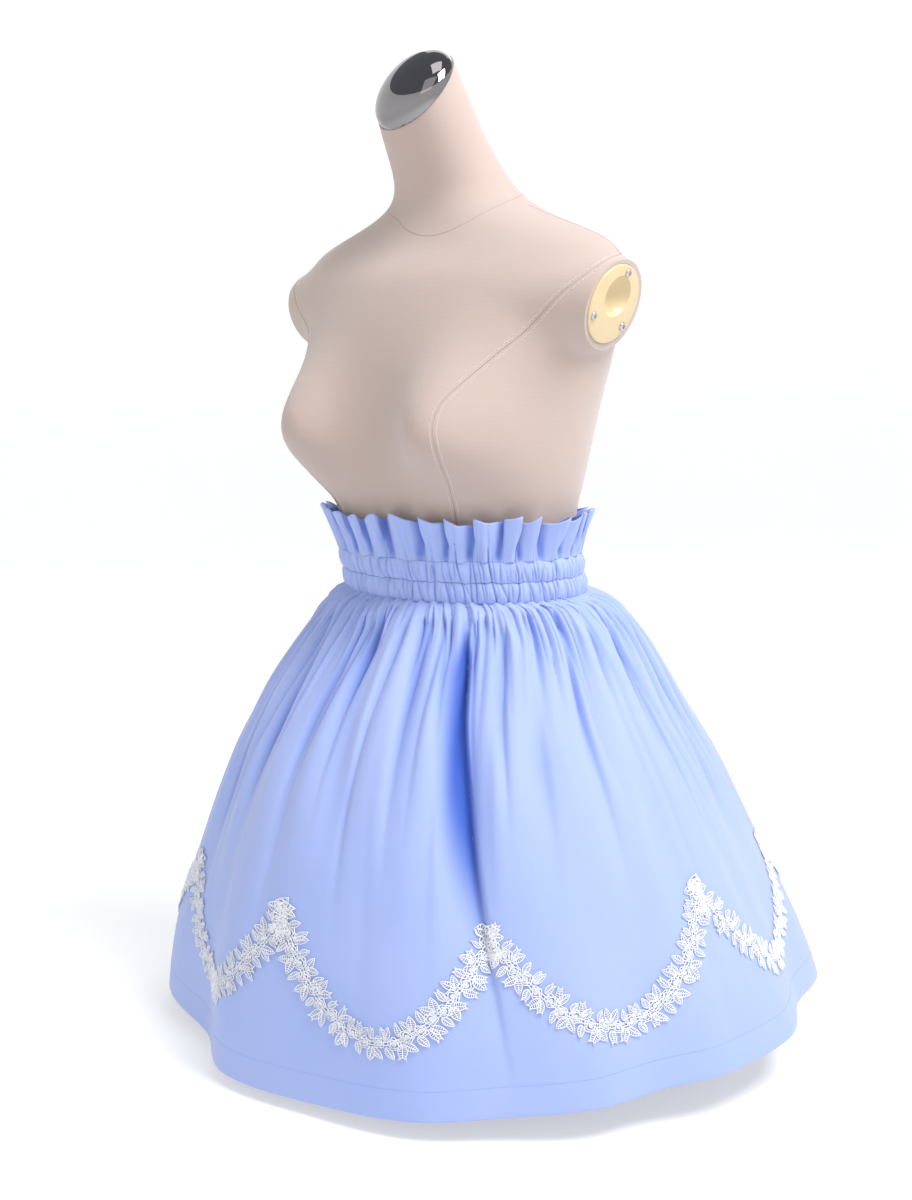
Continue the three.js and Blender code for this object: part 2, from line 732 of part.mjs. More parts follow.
for (const [side, sideName] of [[1, 'left'], [-1, 'right']]) {
  addMesh(`form_arm_plate_${sideName}`, armPlate(side), creamPlastic);
  screwAngles.forEach((angle, i) => {
    const topRadius = screwRadius * screwTopShare;
    const screw = new THREE.CylinderGeometry(topRadius, screwRadius, screwHeight, screwSides);
    screw.rotateZ(-side * Math.PI / 2);
    screw.translate(
      side * (plateFace + seamGap + screwHeight / 2),
      screwCircle * Math.cos(radians(angle)),
      screwCircle * Math.sin(radians(angle)),
    );
    screw.applyMatrix4(armPlace(side));
    addMesh(`form_screw_${sideName}_${i + 1}`, screw, standMetal);
  });
}

// Post and round base, hidden by the skirt
const torsoFoot = torsoSections[0].height;
const baseTop = -floorDrop + baseThickness + baseDome;
const standShift = torsoSections[0].shift;
const post = new THREE.LatheGeometry([
  new THREE.Vector2(0, baseTop + seamGap),
  new THREE.Vector2(postCollarRadius, baseTop + seamGap),
  new THREE.Vector2(postCollarRadius * postCollarTopShare, baseTop + postCollarHeight),
  new THREE.Vector2(postRadius, baseTop + postCollarHeight * 2),
  new THREE.Vector2(postRadius, torsoFoot - seamGap),
  new THREE.Vector2(0, torsoFoot - seamGap),
], latheSides.post);
post.rotateX(Math.PI / 2);
post.translate(0, standShift, 0);
addMesh('form_post', post, standMetal);

const base = new THREE.LatheGeometry([
  new THREE.Vector2(0, -floorDrop),
  new THREE.Vector2(baseRadius, -floorDrop),
  new THREE.Vector2(baseRadius, -floorDrop + baseThickness * baseRimShare),
  new THREE.Vector2(baseRadius - baseRimBevel, -floorDrop + baseThickness),
  new THREE.Vector2(baseCrownRadius, baseTop),
  new THREE.Vector2(0, baseTop),
], latheSides.base);
base.rotateX(Math.PI / 2);
base.translate(0, standShift, 0);
addMesh('form_base', base, standMetal);

// The origin is the middle of the part's box, on the floor
const extent = new THREE.Box3().setFromObject(part, true);
part.position.set(
  -(extent.min.x + extent.max.x) / 2,
  -(extent.min.y + extent.max.y) / 2,
  -extent.min.z,
);

export default part;
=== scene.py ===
"""A light blue gathered skirt with scalloped lace, on a limbless dress form.

Shapes are worked out in millimetres from the waist seam, +Z up and the front of the
garment towards -Y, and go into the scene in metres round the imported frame.
"""

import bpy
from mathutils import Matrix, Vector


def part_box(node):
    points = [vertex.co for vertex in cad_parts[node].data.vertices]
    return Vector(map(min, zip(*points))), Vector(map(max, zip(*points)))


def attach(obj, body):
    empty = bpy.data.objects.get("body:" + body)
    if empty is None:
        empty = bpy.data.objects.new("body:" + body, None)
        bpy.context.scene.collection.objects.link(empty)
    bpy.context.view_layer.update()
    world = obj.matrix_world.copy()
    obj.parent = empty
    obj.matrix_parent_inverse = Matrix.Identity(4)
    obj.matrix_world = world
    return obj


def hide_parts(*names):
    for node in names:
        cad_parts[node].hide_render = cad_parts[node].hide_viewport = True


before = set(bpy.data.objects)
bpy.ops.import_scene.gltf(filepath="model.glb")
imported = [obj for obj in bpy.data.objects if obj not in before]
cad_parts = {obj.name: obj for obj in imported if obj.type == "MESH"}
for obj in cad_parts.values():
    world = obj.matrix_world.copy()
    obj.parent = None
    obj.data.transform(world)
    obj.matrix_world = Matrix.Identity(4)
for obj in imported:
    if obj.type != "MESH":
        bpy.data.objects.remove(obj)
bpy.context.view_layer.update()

import logging
import math
from dataclasses import dataclass, field
from enum import Enum
from typing import Any

import bmesh
import bpy
import numpy as np
from mathutils import Matrix, Vector
from mathutils.bvhtree import BVHTree

log = logging.getLogger("skirt")

Piece = bpy.types.Object
Mesh = tuple[np.ndarray, list[np.ndarray]]
Profile = list[tuple[float, float]]

MM = 0.001
FLOOR_DROP = 430.0
STAND_SHIFT = 12.0
SHARP_GAIN = 1.3
CORD_SIDES = 4
ROUNDING_SHARE = 0.45
ROUNDING_STEPS = 4


# Sums and curves


def smooth(value: Any) -> np.ndarray:
    """Eases from 0 to 1 as value goes from 0 to 1."""
    t = np.clip(value, 0.0, 1.0)
    return t * t * (3 - 2 * t)


def turn_between(a: Any, b: Any) -> np.ndarray:
    """Gives the smallest turn in degrees from azimuth b to azimuth a."""
    return (np.asarray(a) - b + 180) % 360 - 180


def along_curve(knots: np.ndarray, values: np.ndarray, at: Any) -> np.ndarray:
    """Reads a smooth curve through a short table.

    Args:
        knots: Rising places of the table's rows.
        values: The table's value at each place.
        at: Where to read the curve.

    Returns:
        The curve's value at each place asked for.
    """
    at = np.asarray(at, float)
    last = len(knots) - 1
    i = np.searchsorted(knots[1:-1], at, side="left")
    span = knots[i + 1] - knots[i]
    t = np.clip((at - knots[i]) / span, 0, 1)
    before = np.maximum(0, i - 1)
    after = np.minimum(last, i + 2)
    slope_in = (values[i + 1] - values[before]) / (knots[i + 1] - knots[before])
    slope_out = (values[after] - values[i]) / (knots[after] - knots[i])
    start = (2 * t**3 - 3 * t**2 + 1) * values[i] + (t**3 - 2 * t**2 + t) * span * slope_in
    end = (3 * t**2 - 2 * t**3) * values[i + 1] + (t**3 - t**2) * span * slope_out
    return start + end


def wander(phase: Any, *waves: tuple[int, float, float]) -> np.ndarray:
    """Adds up even waves round the waist.

    Args:
        phase: Azimuth in degrees.
        waves: For each wave its count round the waist, its start in degrees and its reach.

    Returns:
        The sum of the waves at each azimuth.
    """
    phase = np.asarray(phase, float)
    total = np.zeros_like(phase)
    for count, start, reach in waves:
        total = total + reach * np.sin(np.radians(count * phase + start))
    return total


def unit(ways: np.ndarray) -> np.ndarray:
    """Brings vectors to a length of 1."""
    return ways / np.maximum(np.linalg.norm(ways, axis=-1, keepdims=True), 1e-9)


def run_along(path: np.ndarray) -> np.ndarray:
    """Gives how far along a path each of its points lies."""
    return np.append(0, np.linalg.norm(np.diff(path, axis=0), axis=1).cumsum())


def circle(sides: int) -> np.ndarray:
    """Gives even turns round a circle, in radians."""
    return np.arange(sides) * 2 * math.pi / sides


def azimuths(count: int) -> np.ndarray:
    """Gives even azimuths round the waist, in degrees."""
    return np.arange(count) * 360 / count


def sharp_valley(aside: np.ndarray, bottom: float, steep: float) -> np.ndarray:
    """Gives the depth across a valley that is narrow at its bottom.

    Args:
        aside: How far from the valley's line, in half widths.
        bottom: How round its bottom is.
        steep: How steeply its sides rise.

    Returns:
        The depth, about 1 at the bottom.
    """
    return np.exp(-np.sqrt(aside**2 + bottom) * steep) * SHARP_GAIN


def play(rng: np.random.Generator, reach: float) -> float:
    """Draws a number between -reach and reach."""
    return rng.uniform(-reach, reach)


def linear(red: int, green: int, blue: int) -> tuple[float, float, float, float]:
    """Turns a colour of 0 to 255 a channel into the linear values that shaders take."""
    channels = [c / 255 for c in (red, green, blue)]
    lit = [c / 12.92 if c <= 0.04045 else ((c + 0.055) / 1.055) ** 2.4 for c in channels]
    return (lit[0], lit[1], lit[2], 1.0)


# Shaders


class Link:
    """A socket in an expression. Arithmetic on it adds Math nodes."""

    def __init__(self, shader: "Shader", socket: bpy.types.NodeSocket) -> None:
        """Keeps the shader that the socket belongs to, and the socket."""
        self.shader = shader
        self.socket = socket

    def math(self, operation: str, *values: Any) -> "Link":
        """Adds one Math node that works on the given values or links."""
        return self.shader.node("ShaderNodeMath", {"operation": operation}, dict(enumerate(values)))

    def __add__(self, other: Any) -> "Link":
        """Adds."""
        return self.math("ADD", self, other)

    __radd__ = __add__

    def __mul__(self, other: Any) -> "Link":
        """Multiplies."""
        return self.math("MULTIPLY", self, other)

    __rmul__ = __mul__


class Shader:
    """A material under construction round one Principled shader."""

    def __init__(self, name: str, fixed: dict[str, Any]) -> None:
        """Starts a material.

        Args:
            name: The material's name.
            fixed: Values on the Principled shader's own sockets.
        """
        self.material = bpy.data.materials.new(name)
        self.material.use_nodes = True
        self.tree = self.material.node_tree
        self.surface = self.tree.nodes["Principled BSDF"]
        for socket, value in fixed.items():
            self.surface.inputs[socket].default_value = value

    def node(self, kind: str, settings: dict[str, Any], values: dict[Any, Any], output: Any = 0) -> Link:
        """Adds one node.

        Args:
            kind: The node's type.
            settings: What is set on the node before its sockets, such as operation or stops.
            values: A value or a link for each input socket, by name or number.
            output: The output to hand back, by name or number.

        Returns:
            The chosen output.
        """
        made = self.tree.nodes.new(kind)
        for key, value in settings.items():
            if key == "stops":
                self.set_stops(made.color_ramp, value)
            else:
                setattr(made, key, value)
        for key, value in values.items():
            self.connect(value, made.inputs[key])
        return Link(self, made.outputs[output])

    @staticmethod
    def set_stops(ramp: bpy.types.ColorRamp, stops: list[tuple[float, tuple]]) -> None:
        """Sets the places and colours of a ramp's stops."""
        while len(ramp.elements) < len(stops):
            ramp.elements.new(1.0)
        for element, (place, colour) in zip(ramp.elements, stops):
            element.position = place
            element.color = colour

    def connect(self, value: Any, socket: bpy.types.NodeSocket) -> None:
        """Links a link to a socket, or sets a plain value on it."""
        if isinstance(value, Link):
            self.tree.links.new(value.socket, socket)
        else:
            socket.default_value = value

    def feed(self, **values: Any) -> None:
        """Feeds sockets of the Principled shader, with underscores for spaces in their names."""
        for name, value in values.items():
            self.connect(value, self.surface.inputs[name.replace("_", " ")])

    def mix(self, share: Any, first: Any, second: Any) -> Link:
        """Mixes two colours."""
        return self.node("ShaderNodeMix", {"data_type": "RGBA"}, {0: share, 6: first, 7: second}, 2)

    def object_place(self) -> Link:
        """Gives the place in the object's own metres."""
        return self.node("ShaderNodeTexCoord", {}, {}, "Object")

    def cloth_place(self) -> Link:
        """Gives the place on the flat cloth, in metres along and across the weave."""
        return self.node("ShaderNodeUVMap", {"uv_map": CLOTH_MAP}, {})

    def noise(self, place: Link, scale: float, detail: float = 2.0, rough: float = 0.5) -> Link:
        """Adds cloudy noise, from 0 to 1."""
        values = {"Vector": place, "Scale": scale, "Detail": detail, "Roughness": rough}
        return self.node("ShaderNodeTexNoise", {}, values)

    def bands(self, place: Link, direction: str, pitch: float) -> Link:
        """Adds even bands.

        Args:
            place: The place that the bands run over.
            direction: The axis across the bands, X, Y or Z.
            pitch: The distance from band to band, in metres.

        Returns:
            A wave from 0 to 1.
        """
        settings = {"wave_type": "BANDS", "bands_direction": direction, "wave_profile": "SIN"}
        return self.node("ShaderNodeTexWave", settings, {"Vector": place, "Scale": WAVE_UNIT / pitch})

    def bump(self, height: Link, strength: float, distance: float) -> None:
        """Feeds the normal from a height.

        Args:
            height: Height from 0 to 1.
            strength: How much of the height shows.
            distance: The height that 1 stands for, in metres.
        """
        values = {"Height": height, "Strength": strength, "Distance": distance}
        self.feed(Normal=self.node("ShaderNodeBump", {}, values))


CLOTH_MAP = "cloth"
# Mesh layer that holds how much painted shade each point of the cloth gets, and the painted shade of the
# cloth's inner face
PAINTED_SHADE_LAYER = "hollow"
LINING_PAINTED_SHADE = 0.6
WAVE_UNIT = math.pi / 10


@dataclass(frozen=True)
class CottonFinish:
    """Smooth matt cotton with a fine plain weave, with painted shade: a deep blue mixed in down in its folds
    and on its inner face.
    """

    light: tuple = linear(165, 178, 227)
    deep: tuple = linear(151, 172, 225)
    # Painted shade colour for the folds and the inner face
    hollow: tuple = linear(56, 94, 188)
    thread_pitch: float = 0.0006
    cloud_scale: float = 9.0
    crease_scale: float = 70.0

    def material(self) -> bpy.types.Material:
        """Builds the material."""
        fixed = {"Roughness": 0.78, "Sheen Weight": 0.3, "Sheen Roughness": 0.45, "Specular IOR Level": 0.32}
        shader = Shader("cotton", fixed)
        flat = shader.cloth_place()
        place = shader.object_place()
        weave = shader.bands(flat, "X", self.thread_pitch) * shader.bands(flat, "Y", self.thread_pitch)
        clouds = shader.noise(place, self.cloud_scale, 3.0)
        crumple = shader.noise(place, self.crease_scale, 3.0, 0.55)
        # Painted shade: a deep blue mixed into the colour as far as the layer says
        hollow = shader.node("ShaderNodeAttribute", {"attribute_name": PAINTED_SHADE_LAYER}, {}, "Fac")
        shader.feed(Base_Color=shader.mix(hollow, shader.mix(clouds, self.light, self.deep), self.hollow))
        shader.feed(Roughness=0.72 + clouds * 0.1)
        shader.bump(weave * 0.12 + crumple * 0.9, 0.35, 0.0009)
        return shader.material


@dataclass(frozen=True)
class LaceFinish:
    """White corded lace thread."""

    light: tuple = linear(242, 243, 248)
    shade: tuple = linear(226, 229, 238)
    twist_pitch: float = 0.0008

    def material(self) -> bpy.types.Material:
        """Builds the material."""
        fixed = {"Sheen Weight": 0.3, "Sheen Roughness": 0.5, "Specular IOR Level": 0.3}
        shader = Shader("lace_thread", fixed)
        place = shader.object_place()
        clouds = shader.noise(place, 240.0)
        twist = shader.bands(place, "Z", self.twist_pitch) * 0.5 + shader.noise(place, 1500.0) * 0.5
        shader.feed(Base_Color=shader.mix(clouds, self.light, self.shade), Roughness=0.7 + clouds * 0.15)
        shader.bump(twist, 0.4, 0.0003)
        return shader.material


@dataclass(frozen=True)
class FormFinish:
    """Matt knit cover of the dress form, a little faded and rubbed."""

    light: tuple = linear(188, 170, 161)
    worn: tuple = linear(177, 158, 150)
    knit_pitch: float = 0.0011

    def material(self) -> bpy.types.Material:
        """Builds the material."""
        fixed = {"Sheen Weight": 0.35, "Sheen Roughness": 0.6, "Specular IOR Level": 0.2}
        shader = Shader("form_cover", fixed)
        place = shader.object_place()
        clouds = shader.noise(place, 6.0, 4.0, 0.6)
        fuzz = shader.noise(place, 900.0, 2.0)
        knit = shader.bands(place, "Z", self.knit_pitch) * 0.4 + fuzz * 0.6
        shader.feed(Base_Color=shader.mix(clouds, self.light, self.worn), Roughness=0.82 + fuzz * 0.12)
        shader.bump(knit, 0.35, 0.0004)
        return shader.material


@dataclass(frozen=True)
class ThreadFinish:
    """Sewing thread; the seam lines use it for a painted shadow along the cover's seams."""

    name: str
    light: tuple
    dark: tuple

    def material(self) -> bpy.types.Material:
        """Builds the material."""
        shader = Shader(self.name, {"Specular IOR Level": 0.3})
        place = shader.object_place()
        specks = shader.noise(place, 700.0)
        shader.feed(Base_Color=shader.mix(specks, self.light, self.dark), Roughness=0.65 + specks * 0.2)
        shader.bump(specks, 0.4, 0.0002)
        return shader.material


@dataclass(frozen=True)
class MetalFinish:
    """Bare metal, from mirror bright to brushed."""

    name: str
    colour: tuple
    smear: tuple
    roughness: float
    grain: float

    def material(self) -> bpy.types.Material:
        """Builds the material."""
        shader = Shader(self.name, {"Metallic": 1.0})
        place = shader.object_place()
        smears = shader.noise(place, 38.0, 4.0, 0.6)
        grains = shader.noise(place, 650.0)
        shader.feed(Base_Color=shader.mix(smears, self.colour, self.smear))
        shader.feed(Roughness=self.roughness + smears * self.roughness)
        shader.bump(grains, self.grain, 0.0001)
        return shader.material


@dataclass(frozen=True)
class PlasticFinish:
    """Moulded plastic or smooth paint, with a faint orange-peel surface."""

    name: str
    colour: tuple
    aged: tuple
    roughness: float
    gloss: float

    def material(self) -> bpy.types.Material:
        """Builds the material."""
        shader = Shader(self.name, {"Coat Roughness": 0.25})
        place = shader.object_place()
        clouds = shader.noise(place, 45.0, 3.0)
        peel = shader.noise(place, 420.0)
        shader.feed(Base_Color=shader.mix(clouds, self.colour, self.aged))
        shader.feed(Roughness=self.roughness + clouds * 0.12, Coat_Weight=self.gloss + clouds * 0.05)
        shader.bump(peel, 0.12, 0.0002)
        return shader.material


COTTON = CottonFinish()
LACE_THREAD = LaceFinish()
FORM_COVER = FormFinish()
SKIRT_THREAD = ThreadFinish("skirt_thread", linear(140, 162, 218), linear(120, 144, 204))
# The seam lines are a thin dark cord sunk along each seam: painted shadow of the seam's groove
SEAM_SHADOW = ThreadFinish("seam_shadow", linear(128, 106, 104), linear(108, 88, 88))
FORM_THREAD = ThreadFinish("form_thread", linear(234, 222, 216), linear(216, 202, 196))
# The chrome's colour is set dark so that the bright backdrop shows in it as dimly as a dark room would:
# painted shade in its reflection
CHROME_DARKENED = MetalFinish("chrome", (0.29, 0.28, 0.29, 1), (0.26, 0.25, 0.26, 1), 0.025, 0.0)
STEEL = MetalFinish("screw_steel", (0.62, 0.63, 0.65, 1), (0.45, 0.46, 0.48, 1), 0.22, 0.15)
CREAM = PlasticFinish("cream_plastic", linear(214, 196, 158), linear(208, 184, 138), 0.36, 0.25)
STAND_PAINT = PlasticFinish("stand_paint", linear(184, 185, 188), linear(170, 171, 176), 0.3, 0.2)


# Meshes


@dataclass
class Part:
    """Points in millimetres and faces of a mesh that is being put together."""

    points: list[np.ndarray] = field(default_factory=list)
    faces: list[np.ndarray] = field(default_factory=list)
    maps: list[np.ndarray] = field(default_factory=list)
    # Painted shade of each point, where the mesh has it
    hollows: list[np.ndarray] = field(default_factory=list)
    count: int = 0

    def add(self, points: np.ndarray, faces: list[np.ndarray], flat: list[np.ndarray] | None = None) -> int:
        """Adds points and the faces between them.

        Args:
            points: Points in millimetres, one a row.
            faces: Arrays of faces, counted from the first of these points.
            flat: The place on the cloth of each corner of each face, where the cloth has one.

        Returns:
            The number of the first point.
        """
        first = self.count
        self.points.append(np.asarray(points, float).reshape(-1, 3))
        self.count += len(self.points[-1])
        self.faces.extend(np.asarray(f, int) + first for f in faces)
        self.maps.extend(flat or [])
        return first

    def join(self, faces: np.ndarray) -> None:
        """Adds faces between points that are there already."""
        self.faces.append(np.asarray(faces, int))
        if self.maps:
            self.maps.append(np.zeros((*self.faces[-1].shape, 2)))


def grid_faces(rows: int, columns: int, is_tube: bool) -> np.ndarray:
    """Gives the quads of a grid whose rows run upwards and whose columns run anticlockwise.

    Args:
        rows: Rows of points.
        columns: Points in a row.
        is_tube: Whether the last column joins the first.

    Returns:
        Four point numbers a face, facing outwards.
    """
    wide = columns if is_tube else columns - 1
    r, c = np.meshgrid(np.arange(rows - 1), np.arange(wide), indexing="ij")
    after = (c + 1) % columns
    quads = [r * columns + c, r * columns + after, (r + 1) * columns + after, (r + 1) * columns + c]
    return np.stack([q.ravel() for q in quads], axis=1)


def grid_map(across: np.ndarray, up: np.ndarray, is_tube: bool) -> np.ndarray:
    """Gives the cloth's own coordinates of each corner of a grid's faces.

    Args:
        across: Metres along the cloth at each column.
        up: Metres up the cloth at each row.
        is_tube: Whether the last column joins the first.

    Returns:
        Two numbers for each of the four corners of each face.
    """
    if is_tube:
        across = np.append(across, 2 * across[-1] - across[-2])
    r, c = np.meshgrid(np.arange(len(up) - 1), np.arange(len(across) - 1), indexing="ij")
    corners = [(c, r), (c + 1, r), (c + 1, r + 1), (c, r + 1)]
    return np.stack([np.stack([across[i].ravel(), up[j].ravel()], axis=1) for i, j in corners], axis=1)


def zipped(lower: np.ndarray, upper: np.ndarray, is_tube: bool) -> np.ndarray:
    """Joins two rows of points whose counts may differ.

    Args:
        lower: Point numbers of the lower row.
        upper: Point numbers of the upper row.
        is_tube: Whether both rows close on themselves.

    Returns:
        Triangles that face outwards for rows that run anticlockwise seen from above.
    """
    if is_tube:
        lower = np.append(lower, lower[0])
        upper = np.append(upper, upper[0])
    lower_place = np.linspace(0, 1, len(lower))
    upper_place = np.linspace(0, 1, len(upper))
    i = 0
    j = 0
    triangles = []
    while i < len(lower) - 1 or j < len(upper) - 1:
        lower_next = lower_place[i + 1] if i < len(lower) - 1 else np.inf
        upper_next = upper_place[j + 1] if j < len(upper) - 1 else np.inf
        if lower_next <= upper_next:
            triangles.append((lower[i], lower[i + 1], upper[j]))
            i += 1
        else:
            triangles.append((lower[i], upper[j + 1], upper[j]))
            j += 1
    return np.array(triangles)


def grid_normals(grid: np.ndarray, is_tube: bool) -> np.ndarray:
    """Works out the outward direction at each point of a grid of rows going up."""
    if is_tube:
        across = np.roll(grid, -1, axis=1) - np.roll(grid, 1, axis=1)
    else:
        across = np.gradient(grid, axis=1)
    return unit(np.cross(across, np.gradient(grid, axis=0)))


def tube_faces(rows: int, sides: int) -> list[np.ndarray]:
    """Gives the faces of a closed tube: its wall, its foot and its head."""
    rim = np.arange(sides)[None, :]
    return [grid_faces(rows, sides, True), rim[:, ::-1], (rows - 1) * sides + rim]


def moved(points: np.ndarray, place: Matrix) -> np.ndarray:
    """Moves points by a matrix."""
    matrix = np.array(place)
    return points @ matrix[:3, :3].T + matrix[:3, 3]


def cloth_wall(
    outer: np.ndarray,
    inner: np.ndarray,
    is_tube: bool,
    spacing: tuple[np.ndarray, np.ndarray],
    hollow: np.ndarray,
) -> Part:
    """Makes a wall of cloth between an outer and an inner grid.

    Args:
        outer: Outer points by row, going up, and column, going anticlockwise.
        inner: Inner points in the same order, at its own spacing.
        is_tube: Whether rows close on themselves.
        spacing: Metres along the cloth at each outer column and up it at each outer row.
        hollow: How much painted shade each outer point gets, from 0 to 1.

    Returns:
        The closed wall.
    """
    part = Part()
    rows, columns = outer.shape[:2]
    inner_rows, inner_columns = inner.shape[:2]
    outside = part.add(outer, [grid_faces(rows, columns, is_tube)], [grid_map(*spacing, is_tube)])
    # Painted shade: the outer face as given, the inner face a fixed amount
    part.hollows = [hollow.ravel(), np.full(inner_rows * inner_columns, LINING_PAINTED_SHADE)]
    inside = part.add(inner, [grid_faces(inner_rows, inner_columns, is_tube)[:, ::-1]])
    part.maps.append(np.zeros((len(part.faces[-1]), 4, 2)))
    outer_index = outside + np.arange(rows * columns).reshape(rows, columns)
    inner_index = inside + np.arange(inner_rows * inner_columns).reshape(inner_rows, inner_columns)
    part.join(zipped(outer_index[0], inner_index[0], is_tube)[:, ::-1])
    part.join(zipped(outer_index[-1], inner_index[-1], is_tube))
    if not is_tube:
        part.join(zipped(outer_index[:, 0], inner_index[:, 0], False))
        part.join(zipped(outer_index[:, -1], inner_index[:, -1], False)[:, ::-1])
    return part


def cord_mesh(path: np.ndarray, radius: float, is_loop: bool) -> Mesh:
    """Makes a thin four-sided cord that lies flat along a path.

    Args:
        path: Points of the path, in a plane or nearly so, with Z up from it.
        radius: The cord's radius.
        is_loop: Whether the path closes on itself.

    Returns:
        Its points and its faces.
    """
    if is_loop:
        ahead = np.roll(path, -1, axis=0) - np.roll(path, 1, axis=0)
    else:
        ahead = np.gradient(path, axis=0)
    aside = unit(np.stack([ahead[:, 1], -ahead[:, 0], np.zeros(len(path))], axis=1))
    turn = circle(CORD_SIDES)
    ring = aside[:, None, :] * np.cos(turn)[None, :, None]
    ring = ring + np.array([0, 0, 1.0]) * np.sin(turn)[None, :, None]
    points = (path[:, None, :] + ring * radius).reshape(-1, 3)
    if is_loop:
        return points, [grid_faces(len(path) + 1, CORD_SIDES, True) % len(points)]
    return points, tube_faces(len(path), CORD_SIDES)


def lathe(profile: Profile, sides: int) -> Mesh:
    """Turns a profile round the Z axis.

    Args:
        profile: Radius and height of each point, from the bottom upwards. It starts and ends on the axis.
        sides: How many sides the turned piece has.

    Returns:
        Its points and its faces.
    """
    turn = circle(sides)
    rings = profile[1:-1]
    points = [np.stack([r * np.cos(turn), r * np.sin(turn), np.full(sides, h)], axis=1) for r, h in rings]
    points = np.concatenate([*points, [[0, 0, profile[0][1]], [0, 0, profile[-1][1]]]])
    low, high = len(points) - 2, len(points) - 1
    first = np.arange(sides)
    top = (len(rings) - 1) * sides + first
    lower = np.stack([np.roll(first, -1), first, np.full(sides, low)], axis=1)
    upper = np.stack([top, np.roll(top, -1), np.full(sides, high)], axis=1)
    return points, [grid_faces(len(rings), sides, True), lower, upper]


def rounded(profile: Profile, radius: float) -> Profile:
    """Rounds the corners of a profile.

    Args:
        profile: Radius and height of each corner.
        radius: How far from a corner its rounding starts, at most.

    Returns:
        The profile with a short curve at each inner corner.
    """
    made = [profile[0]]
    for before, corner, after in zip(profile, profile[1:], profile[2:]):
        here = np.array(corner)
        back = np.array(before) - here
        on = np.array(after) - here
        start = here + back * min(ROUNDING_SHARE, radius / np.linalg.norm(back))
        end = here + on * min(ROUNDING_SHARE, radius / np.linalg.norm(on))
        for t in np.linspace(0, 1, ROUNDING_STEPS):
            point = (1 - t) ** 2 * start + 2 * t * (1 - t) * here + t**2 * end
            made.append((float(point[0]), float(point[1])))
    made.append(profile[-1])
    return made


def add_stitch(part: Part, line: np.ndarray, out: np.ndarray, side: np.ndarray, radius: float) -> None:
    """Adds one four-sided stitch.

    Args:
        part: What it is added to.
        line: The points of its middle line.
        out: The way up from the cloth.
        side: The way across the stitch.
        radius: The thread's radius.
    """
    ring = [side, out, -side, -out]
    points = np.array([[place + way * radius for way in ring] for place in line])
    part.add(points, tube_faces(len(line), len(ring)))


def crisp(piece: Piece, degrees: float) -> None:
    """Marks edges sharper than an angle, so that smooth shading stops there."""
    piece.data.set_sharp_from_angle(angle=math.radians(degrees))


class Workshop:
    """Puts finished pieces into the scene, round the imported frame."""

    def __init__(self) -> None:
        """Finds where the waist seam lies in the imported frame."""
        low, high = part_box("form_base")
        middle = (Vector(low) + Vector(high)) / 2
        self.seam = np.array([middle.x, middle.y - STAND_SHIFT * MM, low[2] + FLOOR_DROP * MM])
        self.finishes: dict[str, bpy.types.Material] = {}

    def finish(self, maker: Any) -> bpy.types.Material:
        """Builds a finish once and hands it out again after that."""
        key = repr(maker)
        if key not in self.finishes:
            self.finishes[key] = maker.material()
        return self.finishes[key]

    def mesh(self, name: str, part: Part) -> Piece:
        """Makes an object of a part.

        Args:
            name: The object's name.
            part: Its points and faces.

        Returns:
            The object, linked into the scene.
        """
        data = bpy.data.meshes.new(name)
        points = np.concatenate(part.points) * MM + self.seam
        faces = [face for block in part.faces for face in block.tolist()]
        data.from_pydata(points.tolist(), [], faces)
        if part.maps:
            layer = data.uv_layers.new(name=CLOTH_MAP)
            layer.data.foreach_set("uv", np.concatenate([m.ravel() for m in part.maps]))
        # Stores each point's painted shade, which the cotton's colour reads
        if part.hollows:
            layer = data.attributes.new(PAINTED_SHADE_LAYER, "FLOAT", "POINT")
            layer.data.foreach_set("value", np.concatenate(part.hollows))
        data.shade_smooth()
        data.update()
        made = bpy.data.objects.new(name, data)
        bpy.context.scene.collection.objects.link(made)
        return made

    def solid(self, name: str, points: np.ndarray, faces: list[np.ndarray]) -> Piece:
        """Makes a closed object whose faces all look outwards.

        Args:
            name: The object's name.
            points: Its points in millimetres.
            faces: Its faces, in any direction.

        Returns:
            The object, linked into the scene.
        """
        part = Part()
        part.add(points, faces)
        made = self.mesh(name, part)
        work = bmesh.new()
        work.from_mesh(made.data)
        bmesh.ops.recalc_face_normals(work, faces=work.faces)
        work.to_mesh(made.data)
        work.free()
        return made

    def dress(self, piece: Piece, finish: Any, slot: str, *nodes: str) -> Piece:
        """Gives a piece its finish and body, and hides the CAD nodes that it stands for.

        Args:
            piece: The piece.
            finish: What builds its material.
            slot: Not used.
            nodes: CAD nodes that the piece stands for.

        Returns:
            The piece.
        """
        piece.data.materials.clear()
        piece.data.materials.append(self.finish(finish))
        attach(piece, "root")
        if nodes:
            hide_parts(*nodes)
        triangles = sum(len(face.vertices) - 2 for face in piece.data.polygons)
        log.info("%s: %d triangles", piece.name, triangles)
        return piece

    def carve(self, body: Piece, tool: Piece, operation: str) -> None:
        """Joins or cuts one object with another, which is then removed.

        Args:
            body: The object that stays.
            tool: The object that joins or cuts it.
            operation: UNION or DIFFERENCE.
        """
        change = body.modifiers.new("carve", "BOOLEAN")
        change.operation = operation
        change.solver = "EXACT"
        change.object = tool
        self.settle(body)
        bpy.data.objects.remove(tool)

    @staticmethod
    def settle(body: Piece) -> None:
        """Applies an object's modifiers to its mesh."""
        bpy.context.view_layer.update()
        seen = body.evaluated_get(bpy.context.evaluated_depsgraph_get())
        body.data = bpy.data.meshes.new_from_object(seen)
        body.modifiers.clear()


@dataclass
class Maker:
    """Builds a group of pieces in a workshop."""

    shop: Workshop


# The skirt


@dataclass(frozen=True)
class BellSection:
    """One level of the bell that the skirt makes."""

    drop: float
    half_width: float
    half_depth: float
    back_shift: float


@dataclass(frozen=True)
class Fold:
    """A valley between gathers, from its top azimuth to its foot, with the drops that it spans."""

    top: float
    foot: float
    start: float
    end: float
    half_width: float
    depth: float
    lean: float = 0.0


